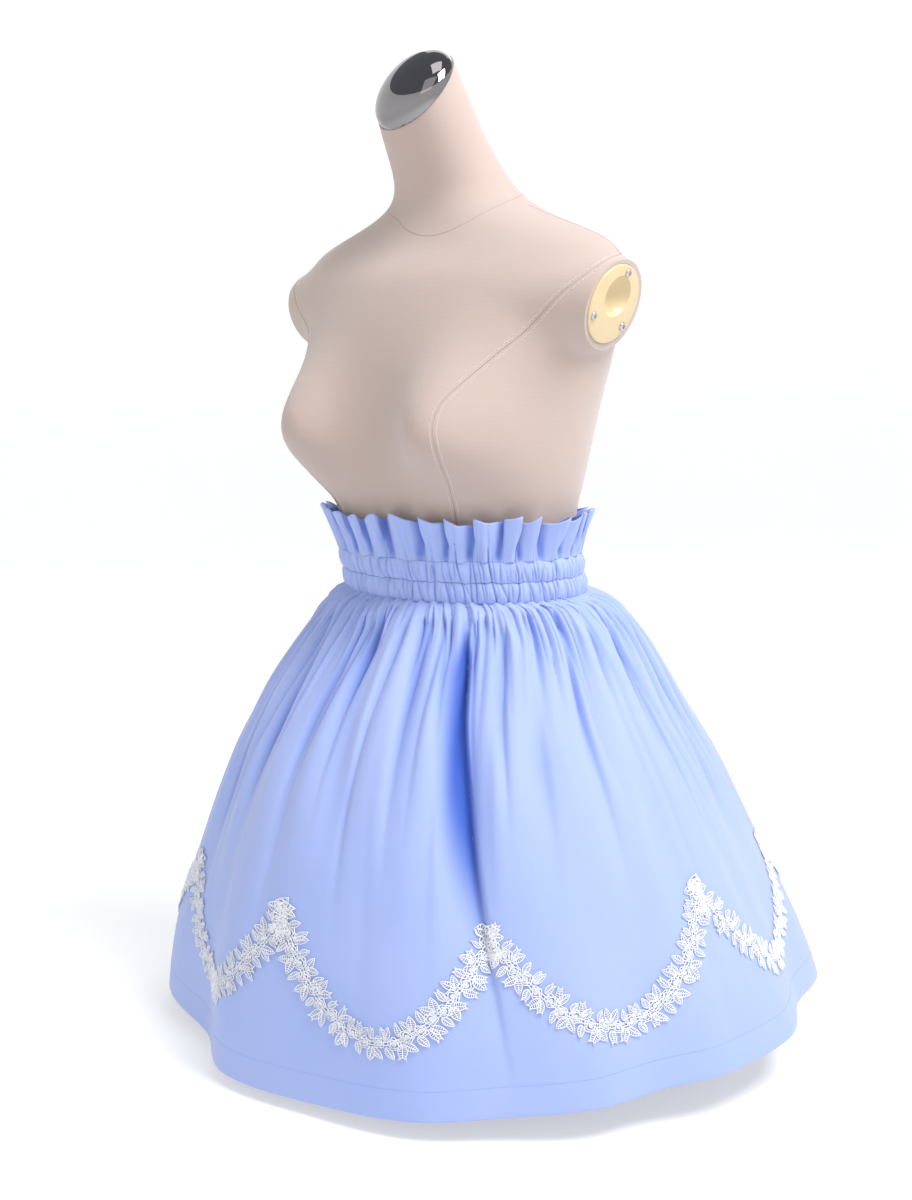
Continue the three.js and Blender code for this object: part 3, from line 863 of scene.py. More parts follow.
@dataclass(frozen=True)
class FoldKind:
    """Small folds of one kind, with the lowest and highest of each of their sizes."""

    count: int
    start: tuple[float, float]
    end: tuple[float, float]
    half_width: tuple[float, float]
    depth: tuple[float, float]
    opening: float
    is_soft: bool
    top_play: float = 0.4
    foot_play: float = 0.7
    lean_play: float = 0.6

    def spread(self, rng: np.random.Generator) -> list[Fold]:
        """Spreads the folds unevenly round the waist."""
        pitch = 360 / self.count
        folds = []
        for i in range(self.count):
            top = i * pitch + play(rng, self.top_play) * pitch
            spans = (self.start, self.end, self.half_width, self.depth)
            start, end, half_width, depth = (rng.uniform(*span) for span in spans)
            foot = top + play(rng, self.foot_play) * pitch
            folds.append(Fold(top, foot, start, end, half_width, depth, play(rng, self.lean_play)))
        return folds


BELL = (
    BellSection(0, 128.6, 102.8, 4),
    BellSection(4, 141, 117, 10),
    BellSection(14, 154, 131, 13),
    BellSection(30, 168, 146, 15),
    BellSection(60, 187, 168, 14),
    BellSection(100, 210, 195, 13),
    BellSection(150, 238, 224, 16),
    BellSection(200, 259, 245, 20),
    BellSection(260, 282, 266, 27),
    BellSection(310, 301, 284, 34),
    BellSection(360, 317, 297, 41),
    BellSection(436, 336, 309, 50),
)

FOLDS = (
    Fold(30, 41, 4, 350, 13, 13),
    Fold(44, 48, 2, 150, 7, 5),
    Fold(18, 25, 2, 170, 8, 5),
    Fold(0, 11, 6, 250, 12, 8),
    Fold(-12, -4, 4, 170, 9, 5),
    Fold(-27, -14, 8, 280, 12, 8),
    Fold(-52, -58, 4, 300, 13, 9),
    Fold(-76, -80, 4, 200, 10, 6),
    Fold(60, 64, 2, 130, 9, 4),
    Fold(78, 76, 4, 190, 9, 5),
    Fold(97, 92, 4, 260, 11, 7),
    Fold(116, 108, 6, 300, 12, 8),
    Fold(140, 146, 4, 330, 13, 11),
    Fold(162, 158, 4, 180, 9, 5),
    Fold(181, 187, 6, 290, 12, 9),
    Fold(205, 202, 4, 160, 9, 5),
    Fold(224, 230, 4, 320, 13, 10),
    Fold(250, 252, 4, 210, 10, 6),
)

SHARP_FOLDS = (
    Fold(34, 43.4, 2, 420, 5.5, 14, -0.72),
    Fold(38, 42, 8, 230, 3.5, 6, 0.5),
    Fold(26, 33, 4, 150, 3.5, 4.5, -0.4),
    Fold(46, 51, 0, 110, 3.2, 4.5, 0.3),
    Fold(2, 5, 3, 215, 5, 6, -0.5),
    Fold(-10, -11, 2, 150, 4, 5, 0.4),
    Fold(-27, -25, 3, 255, 5.5, 7, -0.5),
    Fold(70, 76, 2, 200, 4.5, 5.5, 0.5),
    Fold(92, 104, 10, 260, 5, 6, 0.5),
    Fold(85, 88, 30, 330, 6, 4, -0.4),
    Fold(126, 131, 3, 240, 5, 6, 0.5),
    Fold(150, 149, 2, 180, 4, 5, -0.4),
    Fold(172, 176, 2, 300, 5.5, 7, 0.6),
    Fold(196, 194, 4, 190, 4.5, 5, -0.5),
    Fold(215, 220, 2, 260, 5, 6, 0.4),
    Fold(240, 238, 4, 330, 6, 7, -0.6),
    Fold(262, 266, 2, 170, 4, 5, 0.4),
    Fold(-62, -66, 3, 230, 5, 6, -0.4),
    Fold(-40, -42, 2, 190, 4.5, 6, 0.5),
)

HEM_WAVES = {
    -70: -5, -45: 12, -23: -13, -8: 9, 12: -2, 27: 1, 43: -9, 56: -5, 67: -12, 82: 1,
    98: 5, 111: -9, 127: 9, 146: -9, 166: 8, 187: -8, 208: 9, 230: -9, 254: 9,
}

SMALL_FOLDS = (
    FoldKind(138, (-1, 2), (22, 110), (1.3, 2.6), (3.2, 6.6), 0.05, False),
    FoldKind(58, (1, 14), (90, 290), (3.0, 6.0), (4.0, 8.5), 0.08, False),
    FoldKind(46, (10, 110), (260, 460), (6, 12), (2.6, 6.0), 0.4, True),
)

LACE_PEAKS = {
    -38: 0.65, 2: 0.622, 42: 0.642, 86: 0.622, 126: 0.65, 165: 0.61, 204: 0.64, 243: 0.615, 282: 0.635,
}


@dataclass
class SkirtCloth:
    """The skirt's surface, in its own gathers, creases and waves."""

    gather_count: int = 64
    gather_reach: float = 2.3
    gather_fade: float = 60
    hem_drop_mean: float = 393
    hem_tilt: float = 20
    hem_tilt_azimuth: float = -4
    hem_sway: float = 6
    hem_sway_azimuth: float = -5
    hem_wave_start: float = 110
    hem_wave_full: float = 400
    fold_opening: float = 1 / 6
    sharp_opening: float = 0.1
    fold_full: float = 0.3
    fold_sight: float = 4
    lean_width: float = 1.5
    sharp_bottom: float = 0.06
    sharp_steep: float = 1.7
    deepest_top: float = 4.5
    deepest_growth: float = 0.5
    crowding: tuple = ((4, 0, 1.5), (10, 0, 0.8))
    azimuth_step: float = 0.4
    share_step: float = 0.004
    hem_turn: float = 25
    # Painted shade starts at this depth of fold and is full this much deeper
    hollow_from: float = 4
    hollow_depth: float = 18
    seed: int = 11

    def __post_init__(self) -> None:
        """Lays out the small creases."""
        names = BellSection.__annotations__
        self.bell = {name: np.array([getattr(row, name) for row in BELL], float) for name in names}
        rng = np.random.default_rng(self.seed)
        self.small_folds = [(kind, kind.spread(rng)) for kind in SMALL_FOLDS]

    def section(self, name: str, drop: np.ndarray) -> np.ndarray:
        """Reads one column of the bell's table."""
        return along_curve(self.bell["drop"], self.bell[name], drop)

    def hem_drop(self, azimuth: np.ndarray) -> np.ndarray:
        """Gives how far below the waist seam the hem hangs."""
        tilt = self.hem_tilt * np.cos(np.radians(azimuth - self.hem_tilt_azimuth))
        sway = self.hem_sway * np.cos(np.radians(2 * (azimuth - self.hem_sway_azimuth)))
        return self.hem_drop_mean + tilt + sway

    def hem_wave(self, azimuth: np.ndarray) -> np.ndarray:
        """Gives how far the hem's soft waves stand out."""
        places = np.array([*HEM_WAVES, min(HEM_WAVES) + 360], float)
        reaches = np.array([*HEM_WAVES.values(), HEM_WAVES[min(HEM_WAVES)]], float)
        turned = (azimuth - places[0]) % 360 + places[0]
        i = np.clip(np.searchsorted(places, turned, side="right") - 1, 0, len(places) - 2)
        t = smooth((turned - places[i]) / (places[i + 1] - places[i]))
        return reaches[i] + (reaches[i + 1] - reaches[i]) * t

    def fold_reach(self, folds: Any, place: tuple, opening: float, is_soft: bool = True) -> np.ndarray:
        """Adds up the valleys.

        Args:
            folds: The valleys.
            place: Azimuth, drop below the seam and the skirt's radius there.
            opening: Share of a valley's length over which it deepens.
            is_soft: Whether a valley is round at its bottom and not sharp.

        Returns:
            How far out they bring the cloth, which is inwards.
        """
        azimuth, drop, radius = place
        reach = np.zeros_like(drop)
        for fold in folds:
            t = (drop - fold.start) / (fold.end - fold.start)
            down = np.clip(t, 0, 1)
            middle = fold.top + (fold.foot - fold.top) * np.sqrt(down)
            aside = np.radians(turn_between(azimuth, middle)) * radius / (fold.half_width * (1 + down))
            near = (t > 0) & (t < 1) & (np.abs(aside) < self.fold_sight)
            across = aside[near]
            across = across / (1 + fold.lean * np.tanh(across * self.lean_width))
            fading = 1 - smooth((t[near] - self.fold_full) / (1 - self.fold_full))
            if is_soft:
                shape = np.exp(-(across**2))
            else:
                shape = sharp_valley(across, self.sharp_bottom, self.sharp_steep)
            reach[near] -= fold.depth * smooth(t[near] / opening) * fading * shape
        return reach

    def point(self, phase: Any, share: Any) -> np.ndarray:
        """Gives points of the cloth's outer face.

        Args:
            phase: Azimuth in the order of the gathers, which crowd and spread a little.
            share: Share of the way from the seam to the hem.

        Returns:
            Points in millimetres.
        """
        azimuth, drop, half_width, valleys = self.valleys(phase, share)
        gather = self.gather_reach * np.cos(np.radians(self.gather_count * azimuth))
        waved = smooth((drop - self.hem_wave_start) / (self.hem_wave_full - self.hem_wave_start))
        out = gather * np.exp(-drop / self.gather_fade) + self.hem_wave(azimuth) * waved + valleys
        angle = np.radians(azimuth)
        x = (half_width + out) * np.sin(angle)
        y = self.section("back_shift", drop) - (self.section("half_depth", drop) + out) * np.cos(angle)
        return np.stack([x, y, -drop], axis=-1)

    def valleys(self, phase: Any, share: Any) -> tuple[np.ndarray, np.ndarray, np.ndarray, np.ndarray]:
        """Gives azimuth, drop, the bell's half width and how far out the valleys bring the cloth."""
        phase, share = np.broadcast_arrays(np.asarray(phase, float), np.asarray(share, float))
        azimuth = phase + wander(phase, *self.crowding) * (1 - share)
        drop = share * self.hem_drop(azimuth)
        half_width = self.section("half_width", drop)
        place = (azimuth, drop, half_width)
        out = self.fold_reach(FOLDS, place, self.fold_opening)
        out = out + self.fold_reach(SHARP_FOLDS, place, self.sharp_opening, False)
        for kind, folds in reversed(self.small_folds):
            out = out + self.fold_reach(folds, place, kind.opening, kind.is_soft)
        return azimuth, drop, half_width, np.maximum(out, -self.deepest_top - drop * self.deepest_growth)

    def hollow(self, phase: np.ndarray, share: np.ndarray) -> np.ndarray:
        """Gives how much painted shade the cloth gets, from 0 to 1, more the deeper it lies in its folds."""
        _, _, _, out = self.valleys(phase, share)
        return smooth((-out - self.hollow_from) / self.hollow_depth)

    def normal(self, phase: np.ndarray, share: np.ndarray) -> np.ndarray:
        """Gives the outward direction of the cloth."""
        turn = self.azimuth_step
        step = self.share_step
        across = self.point(phase + turn, share) - self.point(phase - turn, share)
        up = self.point(phase, share - step) - self.point(phase, share + step)
        return unit(np.cross(across, up))


@dataclass
class SkirtPanels(Maker):
    """Front and back panel, cut at the side seams, with their turned and stitched hem."""

    cloth: SkirtCloth
    columns: int = 560
    bell_rows: int = 80
    bell_share: float = 0.918
    bell_crowding: float = 1.6
    hem_rows: tuple = (30, 27.5, 26, 25, 24, 22, 17, 11, 6, 2.5, 1, 0)
    wall: float = 0.9
    seam_gap: float = 0.04
    tuck: float = 3.2
    tuck_rise: float = 2.2
    hem_length: float = 2040
    hem_groove: float = 0.08
    groove_half_width: float = 1.3
    edge_rounding: float = 0.5
    edge_reach: float = 0.8
    sharp_edge: float = 70
    stitch_pitch: float = 3.1
    stitch_length: float = 2.2
    stitch_radius: float = 0.24
    stitch_lifts: tuple = (-0.35, 0.1, -0.35)
    cut_width: float = 1.06
    cut_length: float = 0.45

    def grid(self, start: float, end: float) -> tuple[np.ndarray, np.ndarray]:
        """Gives a panel's outer points, from the hem upwards, and how much painted shade each gets.

        Args:
            start: The azimuth where it starts.
            end: The azimuth where it ends.

        Returns:
            Points by row and column, and 0 to 1 for each.
        """
        phase = np.linspace(start, end, self.columns)
        share = self.bell_share * np.linspace(0, 1, self.bell_rows) ** self.bell_crowding
        hem = 1 - np.array(self.hem_rows) / self.cloth.hem_drop_mean
        share = np.concatenate([share, hem])[::-1]
        points = self.cloth.point(phase[None, :], share[:, None])
        normal = grid_normals(points, False)
        above = (1 - share) * self.cloth.hem_drop_mean
        groove = self.hem_groove * np.exp(-(((above - self.cloth.hem_turn) / self.groove_half_width) ** 2))
        edge = self.edge_rounding * np.exp(-above / self.edge_reach)
        points = points - normal * (groove + edge)[:, None, None]
        points[-1] += self.tucked(phase)
        side = np.array([0, self.seam_gap / 2, 0])
        forward = 1 if math.cos(math.radians((start + end) / 2)) < 0 else -1
        points[:, 0] += side * forward
        points[:, -1] += side * forward
        return points, self.cloth.hollow(phase[None, :], share[:, None])

    def tucked(self, phase: np.ndarray) -> np.ndarray:
        """Gives how far the top edge moves in under the casing."""
        angle = np.radians(phase)
        rise = np.full_like(angle, self.tuck_rise)
        return np.stack([-np.sin(angle) * self.tuck, np.cos(angle) * self.tuck, rise], axis=1)

    def panel(self, name: str, start: float, end: float) -> Piece:
        """Builds one panel.

        Args:
            name: Its name, which starts with that of the node it stands for.
            start: The azimuth where it starts.
            end: The azimuth where it ends.

        Returns:
            The panel.
        """
        outer, hollow = self.grid(start, end)
        every_other = [*range(0, self.columns, 2), self.columns - 1]
        inner = (outer - grid_normals(outer, False) * self.wall)[::2, every_other]
        inner[-1] = outer[-1][every_other] - [0, 0, self.wall]
        spacing = (np.linspace(0, self.cut_width, self.columns), run_along(outer[:, 0]) * MM)
        piece = self.shop.mesh(f"{name}_cloth", cloth_wall(outer, inner, False, spacing, hollow))
        crisp(piece, self.sharp_edge)
        return self.shop.dress(piece, COTTON, "cloth", name)

    def stitches(self) -> Piece:
        """Builds the row of stitches round the turned hem."""
        count = int(self.hem_length / self.stitch_pitch)
        phase = azimuths(count)
        share = 1 - self.cloth.hem_turn / self.cloth.hem_drop_mean
        half = 0.5 * self.stitch_length / self.hem_length * 360
        ends = [self.cloth.point(phase + turn, share) for turn in (-half, 0, half)]
        normal = self.cloth.normal(phase, np.full_like(phase, share))
        path = np.stack([end + normal * lift for end, lift in zip(ends, self.stitch_lifts)], axis=1)
        part = Part()
        for line, out in zip(path, normal):
            add_stitch(part, line, out, unit(np.cross(out, line[2] - line[0])), self.stitch_radius)
        return self.shop.dress(self.shop.mesh("hem_stitches", part), SKIRT_THREAD, "cloth")

    def build(self) -> list[Piece]:
        """Builds both panels and the stitches.

        Returns:
            The pieces.
        """
        front = self.panel("skirt_front", -90, 90)
        back = self.panel("skirt_back", 90, 270)
        stitches = self.stitches()
        return [front, back, stitches]


# The waist


@dataclass(frozen=True)
class PuckerKind:
    """Puckers of one kind, with the lowest and highest of each of their sizes."""

    count: int
    half_width: tuple[float, float]
    depth: tuple[float, float]
    middle_share: tuple[float, float]
    reach: tuple[float, float]


PUCKER_KINDS = (
    PuckerKind(150, (0.6, 1.25), (1.3, 3.6), (0.2, 0.8), (14, 30)),
    PuckerKind(170, (0.5, 0.9), (0.9, 2.4), (-0.05, 1.05), (4, 9)),
)


@dataclass
class WaistBand(Maker):
    """The two elastic casings and the frill that stands above them."""

    half_width: float = 123.2
    half_depth: float = 97.5
    wall: float = 2.2
    foot_shift: float = 3
    top_shift: float = -6
    seam_gap: float = 0.3
    casing_height: float = 19.1
    casing_bulge: float = 2.7
    columns: int = 1300
    rows: int = 16
    inner_skip: int = 10
    swell_power: float = 0.6
    lumps: tuple = ((9, 40, 0.35), (23, 70, 0.4), (41, 10, 0.35))
    pucker_play: float = 0.42
    pucker_slant: float = 1.9
    pucker_bend: float = 0.9
    pucker_winding: float = 5
    pucker_snake: float = 6.3
    pucker_bottom: float = 0.05
    pucker_steep: float = 1.5
    pucker_sight: float = 5
    pinches: tuple = ((17, 0, 0.35), (43, 50, 0.4), (71, 90, 0.3))
    # Painted shade down in the casings' puckers
    casing_hollow: float = 0.8
    frill_height: float = 37
    frill_flare: float = 9.5
    frill_flare_curve: float = 1.3
    frill_top_shift: float = -9
    frill_wall: float = 0.8
    frill_columns: int = 1300
    frill_rows: int = 24
    flute_count: int = 30
    flute_reach: float = 6.6
    flute_foot: float = 1.4
    flute_growth: float = 0.8
    flute_start: float = 0.02
    flute_full: float = 0.75
    flute_spread: tuple = ((3, 0, 44), (7, 50, 34), (11, 20, 20))
    flute_play: tuple = ((5, 40, 0.2), (9, 10, 0.18), (13, 80, 0.12))
    knife_ways: tuple = ((3, 200, 1), (5, 70, 0.8))
    knife_play: tuple = ((8, 15, 0.25), (13, 60, 0.2))
    frill_crowding: float = 1.1
    frill_turns: tuple = ((3, 0, 2.4), (8, 0, 1.2))
    top_waves: tuple = ((7, 20, 1.6), (15, 0, 1.0))
    thinnest: float = 0.9
    square: float = 0.3
    widen: float = 0.25
    knife: float = 1.35
    sawtooth: float = 2.4
    tooth_lean: float = 2.0
    tooth_point: float = 0.45
    flatness: float = 0.1
    way_change: float = 2.5
    fine_drop: float = 2
    fine_fade: float = 0.62
    foot_lap: float = 0.8
    lap_power: float = 12
    # Painted shade between the flutes and in the fine puckers, and the pucker depth at which painted shade is
    # full
    flute_hollow: float = 0.75
    fine_hollow: float = 0.7
    hollow_depth: float = 8.0
    casing_cut: float = 0.92
    casing_cut_height: float = 0.024
    frill_cut: float = 1.05
    frill_cut_height: float = 0.04
    seed: int = 5

    def foot_of(self, casing: int) -> float:
        """Gives the height of a casing's foot, or of the frill's for casing 2."""
        return self.seam_gap + casing * (self.casing_height + self.seam_gap)

    def shift(self, height: Any) -> np.ndarray:
        """Gives the band's shift to the back at a height."""
        t = np.clip(np.asarray(height) / self.foot_of(2), 0, 1)
        return self.foot_shift + (self.top_shift - self.foot_shift) * t

    def ring(self, azimuth: np.ndarray, out: np.ndarray, height: np.ndarray, shift: np.ndarray) -> np.ndarray:
        """Places points on the band's oval, moved out from it."""
        angle = np.radians(azimuth)
        x = (self.half_width + out) * np.sin(angle)
        y = shift - (self.half_depth + out) * np.cos(angle)
        return np.stack(np.broadcast_arrays(x, y, height), axis=-1)

    def puckers(self, azimuth: np.ndarray, height: np.ndarray) -> np.ndarray:
        """Presses uneven puckers into both casings and the frill's foot.

        Args:
            azimuth: Where to read them round the waist.
            height: Where to read them above the seam.

        Returns:
            How deep they are in millimetres.
        """
        rng = np.random.default_rng(self.seed)
        depth = np.zeros(np.broadcast(azimuth, height).shape)
        radius = (self.half_width + self.half_depth) / 2
        top = self.foot_of(2)
        share = height / top - 0.5
        for i, kind in enumerate(kind for kind in PUCKER_KINDS for _ in range(kind.count)):
            middle = (i + play(rng, self.pucker_play)) * 360 / kind.count
            slant = play(rng, self.pucker_slant)
            bend = play(rng, self.pucker_bend)
            snake = rng.uniform(0, self.pucker_snake)
            half_width = rng.uniform(*kind.half_width)
            deep = rng.uniform(*kind.depth)
            centre = rng.uniform(*kind.middle_share) * top
            reach = rng.uniform(*kind.reach)
            line = middle + slant * share + bend * np.sin(self.pucker_winding * share + snake)
            aside = np.radians(turn_between(azimuth, line)) * radius / half_width
            valley = deep * sharp_valley(aside, self.pucker_bottom, self.pucker_steep)
            fading = np.exp(-(((height - centre) / reach) ** 4))
            depth += np.where(np.abs(aside) < self.pucker_sight, valley * fading, 0)
        return depth

    def pinch(self, azimuth: np.ndarray) -> np.ndarray:
        """Gives how far the gathers pull a seam of the band up or down."""
        return wander(azimuth, *self.pinches)

    def casing(self, name: str, index: int) -> Piece:
        """Builds one casing.

        Args:
            name: The node that it stands for.
            index: 0 for the lower one, 1 for the upper one.

        Returns:
            The casing.
        """
        azimuth = azimuths(self.columns)[None, :]
        share = (0.5 - 0.5 * np.cos(np.linspace(0, math.pi, self.rows)))[:, None]
        height = self.foot_of(index) + share * self.casing_height
        swell = np.sin(math.pi * np.clip(share, 0, 1)) ** self.swell_power
        first, *others = self.lumps
        lumps = wander(azimuth, (first[0], first[1] * index, first[2]), *others)
        out = self.wall + (self.casing_bulge + lumps) * swell
        deep = self.puckers(azimuth, height)
        out = np.maximum(out - deep * (0.5 + 0.5 * swell), 0.4 + 0.6 * swell)
        pinched = height + self.pinch(azimuth)
        outer = self.ring(azimuth, out, pinched, self.shift(height))
        ends = height[[0, -1]]
        inner = self.ring(azimuth[:, :: self.inner_skip], np.zeros_like(ends), ends, self.shift(ends))
        spacing = (azimuth[0] / 360 * self.casing_cut, share[:, 0] * self.casing_height * MM)
        # Painted shade in the puckers, more where they are deeper
        part = cloth_wall(outer, inner, True, spacing, smooth(deep / self.hollow_depth) * self.casing_hollow)
        piece = self.shop.dress(self.shop.mesh(f"{name}_cloth", part), COTTON, "cloth", name)
        return piece

    def frill(self) -> Piece:
        """Builds the frill, whose flutes fold over themselves towards the top.

        Returns:
            The frill.
        """
        phase = azimuths(self.frill_columns)[None, :]
        share = np.linspace(0, 1, self.frill_rows)[:, None] ** self.frill_crowding
        outer, hollow = self.frill_points(phase, share)
        inner = outer - grid_normals(outer, True) * self.frill_wall
        spacing = (phase[0] / 360 * self.frill_cut, share[:, 0] * self.frill_height * MM)
        part = cloth_wall(outer, inner[:, ::2], True, spacing, hollow)
        piece = self.shop.dress(self.shop.mesh("frill_cloth", part), COTTON, "cloth", "frill")
        return piece

    def frill_points(self, phase: np.ndarray, share: np.ndarray) -> tuple[np.ndarray, np.ndarray]:
        """Gives the frill's outer points and how much painted shade each gets.

        Args:
            phase: Azimuth in the order of the flutes.
            share: Share of the way up the frill.

        Returns:
            Points by row and column, and 0 to 1 for each.
        """
        angle = np.radians(self.flute_count * phase + wander(phase, *self.flute_spread))
        wave = (np.cos(angle) + self.flatness * np.cos(3 * angle)) / (1 + self.flatness)
        fluted = wave * (1 + wander(phase, *self.flute_play))
        reach = self.flute_foot + (self.flute_reach - self.flute_foot) * share**self.flute_growth
        opening = smooth((share - self.flute_start) / self.flute_full)
        way = np.tanh(self.way_change * wander(phase, *self.knife_ways))
        knife = self.knife * (1 + wander(phase, *self.knife_play)) * way
        lap = knife * np.cos(angle) + self.square * np.sin(2 * angle) + self.widen * np.sin(angle)
        pitch = 360 / self.flute_count / (2 * math.pi)
        azimuth = phase + wander(phase, *self.frill_turns) + opening * lap * pitch
        foot = self.foot_of(2)
        below = np.full_like(azimuth, foot - self.fine_drop)
        fine = self.puckers(azimuth, below) * np.exp(-share / self.fine_fade)
        flare = self.frill_flare * share**self.frill_flare_curve
        out = self.wall + self.frill_wall + flare + fluted * reach - fine
        lean = way * self.tooth_lean * (np.sin(angle) + self.tooth_point * np.sin(2 * angle))
        teeth = fluted * self.sawtooth + lean
        height = foot + self.frill_height * share + self.pinch(azimuth) * (1 - share)
        height = height - self.foot_lap * (1 - share) ** self.lap_power
        height = height + share * (wander(phase, *self.top_waves) + teeth)
        shift = self.top_shift + (self.frill_top_shift - self.top_shift) * share
        # Painted shade between the flutes and in the fine puckers at the foot
        between = smooth(-wave * 0.9) * smooth(share * 4 + 0.3)
        hollow = between * self.flute_hollow + smooth(fine / self.hollow_depth) * self.fine_hollow
        points = self.ring(azimuth, np.maximum(out, self.thinnest), height, shift)
        return points, np.clip(hollow, 0, 1)

    def build(self) -> list[Piece]:
        """Builds both casings and the frill."""
        casings = [self.casing(name, i) for i, name in enumerate(("casing_lower", "casing_upper"))]
        return [*casings, self.frill()]


# The lace


class LeafTip(Enum):
    """How a lace leaf ends."""

    POINTED = "pointed"
    FORKED = "forked"


@dataclass(frozen=True)
class PetalRow:
    """One row of petals, as a wavy cord."""

    share: float
    lobes: int
    height: float
    points: int


@dataclass(frozen=True)
class LeafPlace:
    """Which side of its rose a leaf grows on, the way it points in degrees, and its size."""

    side: int
    degrees: float
    size: float


# Share of the rose's radius and height of each ring of its disc
DISC_RINGS = ((0.3, 0.3), (0.2, 0.6), (0.1, 0.75))
PETAL_ROWS = (PetalRow(1.0, 5, 0.3, 36), PetalRow(0.66, 4, 0.6, 24))
LEAF_FANS = (LeafPlace(1, 55, 1.0), LeafPlace(1, 104, 1.0), LeafPlace(-1, 80, 0.86))
END_LEAVES = (58, 92, 124)


@dataclass
class LaceTrim(Maker):
    """Corded roses and leaves, laid in scallops over the skirt."""

    cloth: SkirtCloth
    trough_share: float = 0.845
    roundness: float = 0.9
    lift: float = 0.75
    rose_pitch: float = 13.2
    rose_radius: float = 5.8
    rose_sizes: tuple = (0.92, 1.06)
    rose_aside: float = 1.5
    leaf_length: float = 13.4
    leaf_half_width: float = 3.4
    leaf_aside: float = 3.2
    rose_play: float = 0.8
    leaf_play: float = 13
    end_leaf_play: float = 6
    end_leaf_size: float = 0.92
    cord: float = 0.42
    slant: float = 0.92
    overrun: float = 0.06
    course_points: int = 560
    measure_points: int = 400
    look_ahead: float = 0.012
    disc_sides: int = 20
    disc_lobes: int = 5
    disc_height: float = 0.8
    spiral_turns: float = 1.3
    spiral_points: int = 18
    spiral_shares: tuple = (0.5, 0.14)
    spiral_heights: tuple = (0.75, 1.1)
    spoke_count: int = 9
    spoke_shares: tuple = (0.62, 1)
    spoke_height: float = 0.35
    rim_height: float = 0.25
    rib_height: float = 0.45
    rib_share: float = 0.86
    bar_height: float = 0.2
    bar_count: int = 6
    bar_span: tuple = (0.14, 0.8)
    bar_slant: float = 0.07
    fork_from: float = 0.75
    fork_notch: float = 0.8
    vine_points: int = 110
    vine_sway: float = 1.6
    forked_share: float = 0.28
    seed: int = 21

    def centre(self, start: float, end: float, s: np.ndarray) -> tuple[np.ndarray, np.ndarray]:
        """Gives azimuth and hang along a scallop's middle line."""
        hang = np.sin(math.pi * np.clip(s, 0, 1)) ** self.roundness
        first = min(LACE_PEAKS)
        fall = LACE_PEAKS[(end - first) % 360 + first] - LACE_PEAKS[start]
        peak = LACE_PEAKS[start] + fall * np.clip(s, 0, 1)
        return start + (end - start) * s, peak + (self.trough_share - peak) * hang

    def laid(self, start: float, end: float, flat: np.ndarray) -> np.ndarray:
        """Lays flat lace on the skirt.

        Args:
            start: Azimuth of the first peak.
            end: Azimuth of the next peak.
            flat: Places along and across the trim and up from it, with the whole length from 0 on.

        Returns:
            Points in millimetres.
        """
        s = np.linspace(-self.overrun, 1 + self.overrun, self.course_points)
        length = run_along(self.cloth.point(*self.centre(start, end, s)))
        length -= np.interp(0, s, length)
        at = np.interp(flat[:, 0], length, s)
        azimuth, hang = self.centre(start, end, at)
        steps = (-self.look_ahead, self.look_ahead)
        back, ahead = (self.cloth.point(*self.centre(start, end, at + step)) for step in steps)
        here = self.cloth.point(azimuth, hang)
        radius = np.hypot(here[:, 0], here[:, 1])
        run = ahead - back
        along = unit(np.stack([np.hypot(run[:, 0], run[:, 1]), -run[:, 2]], axis=1))
        turned = azimuth + np.degrees(along[:, 1] * flat[:, 1] / radius)
        share = hang - along[:, 0] * flat[:, 1] * self.slant / self.cloth.hem_drop(turned)
        out = self.cloth.normal(turned, share)
        return self.cloth.point(turned, share) + out * (self.lift + flat[:, 2:3])

    def length(self, start: float, end: float) -> float:
        """Measures a scallop's middle line."""
        s = np.linspace(0, 1, self.measure_points)
        return float(run_along(self.cloth.point(*self.centre(start, end, s)))[-1])

    def rose(self, rng: np.random.Generator) -> Mesh:
        """Makes one flat rose of corded petals round a spiral."""
        part = Part()
        radius = self.rose_radius * rng.uniform(*self.rose_sizes)
        spin = rng.uniform(0, 2 * math.pi)
        turn = circle(self.disc_sides)
        rim = radius * (0.93 + 0.06 * np.cos(self.disc_lobes * turn + spin))
        disc = [self.flat_ring(turn, rim * share, height) for share, height in DISC_RINGS]
        last = (len(DISC_RINGS) - 1) * self.disc_sides + np.arange(self.disc_sides)
        top = np.stack([last, np.roll(last, -1), np.full(len(last), last[-1] + 1)], axis=1)
        points = np.concatenate([*disc, [[0, 0, self.disc_height]]])
        part.add(points, [grid_faces(len(DISC_RINGS), self.disc_sides, True), top])
        for row in PETAL_ROWS:
            turn = circle(row.points)
            reach = radius * row.share * (0.95 + 0.1 * np.cos(row.lobes * turn + spin * row.share))
            part.add(*cord_mesh(self.flat_ring(turn, reach, row.height), self.cord * 1.15, True))
        turn = spin + np.linspace(0, self.spiral_turns * 2 * math.pi, self.spiral_points)
        reach = radius * np.linspace(*self.spiral_shares, self.spiral_points)
        rise = np.linspace(*self.spiral_heights, self.spiral_points)
        part.add(*cord_mesh(self.flat_ring(turn, reach, rise), self.cord, False))
        for a in spin + circle(self.spoke_count):
            spoke = self.flat_ring(np.array([a, a]), radius * np.array(self.spoke_shares), self.spoke_height)
            part.add(*cord_mesh(spoke, self.cord * 0.8, False))
        return np.concatenate(part.points), part.faces

    @staticmethod
    def flat_ring(turn: np.ndarray, reach: Any, height: Any) -> np.ndarray:
        """Places points round a middle, at turns, distances and heights."""
        return np.stack(np.broadcast_arrays(reach * np.cos(turn), reach * np.sin(turn), height), axis=1)

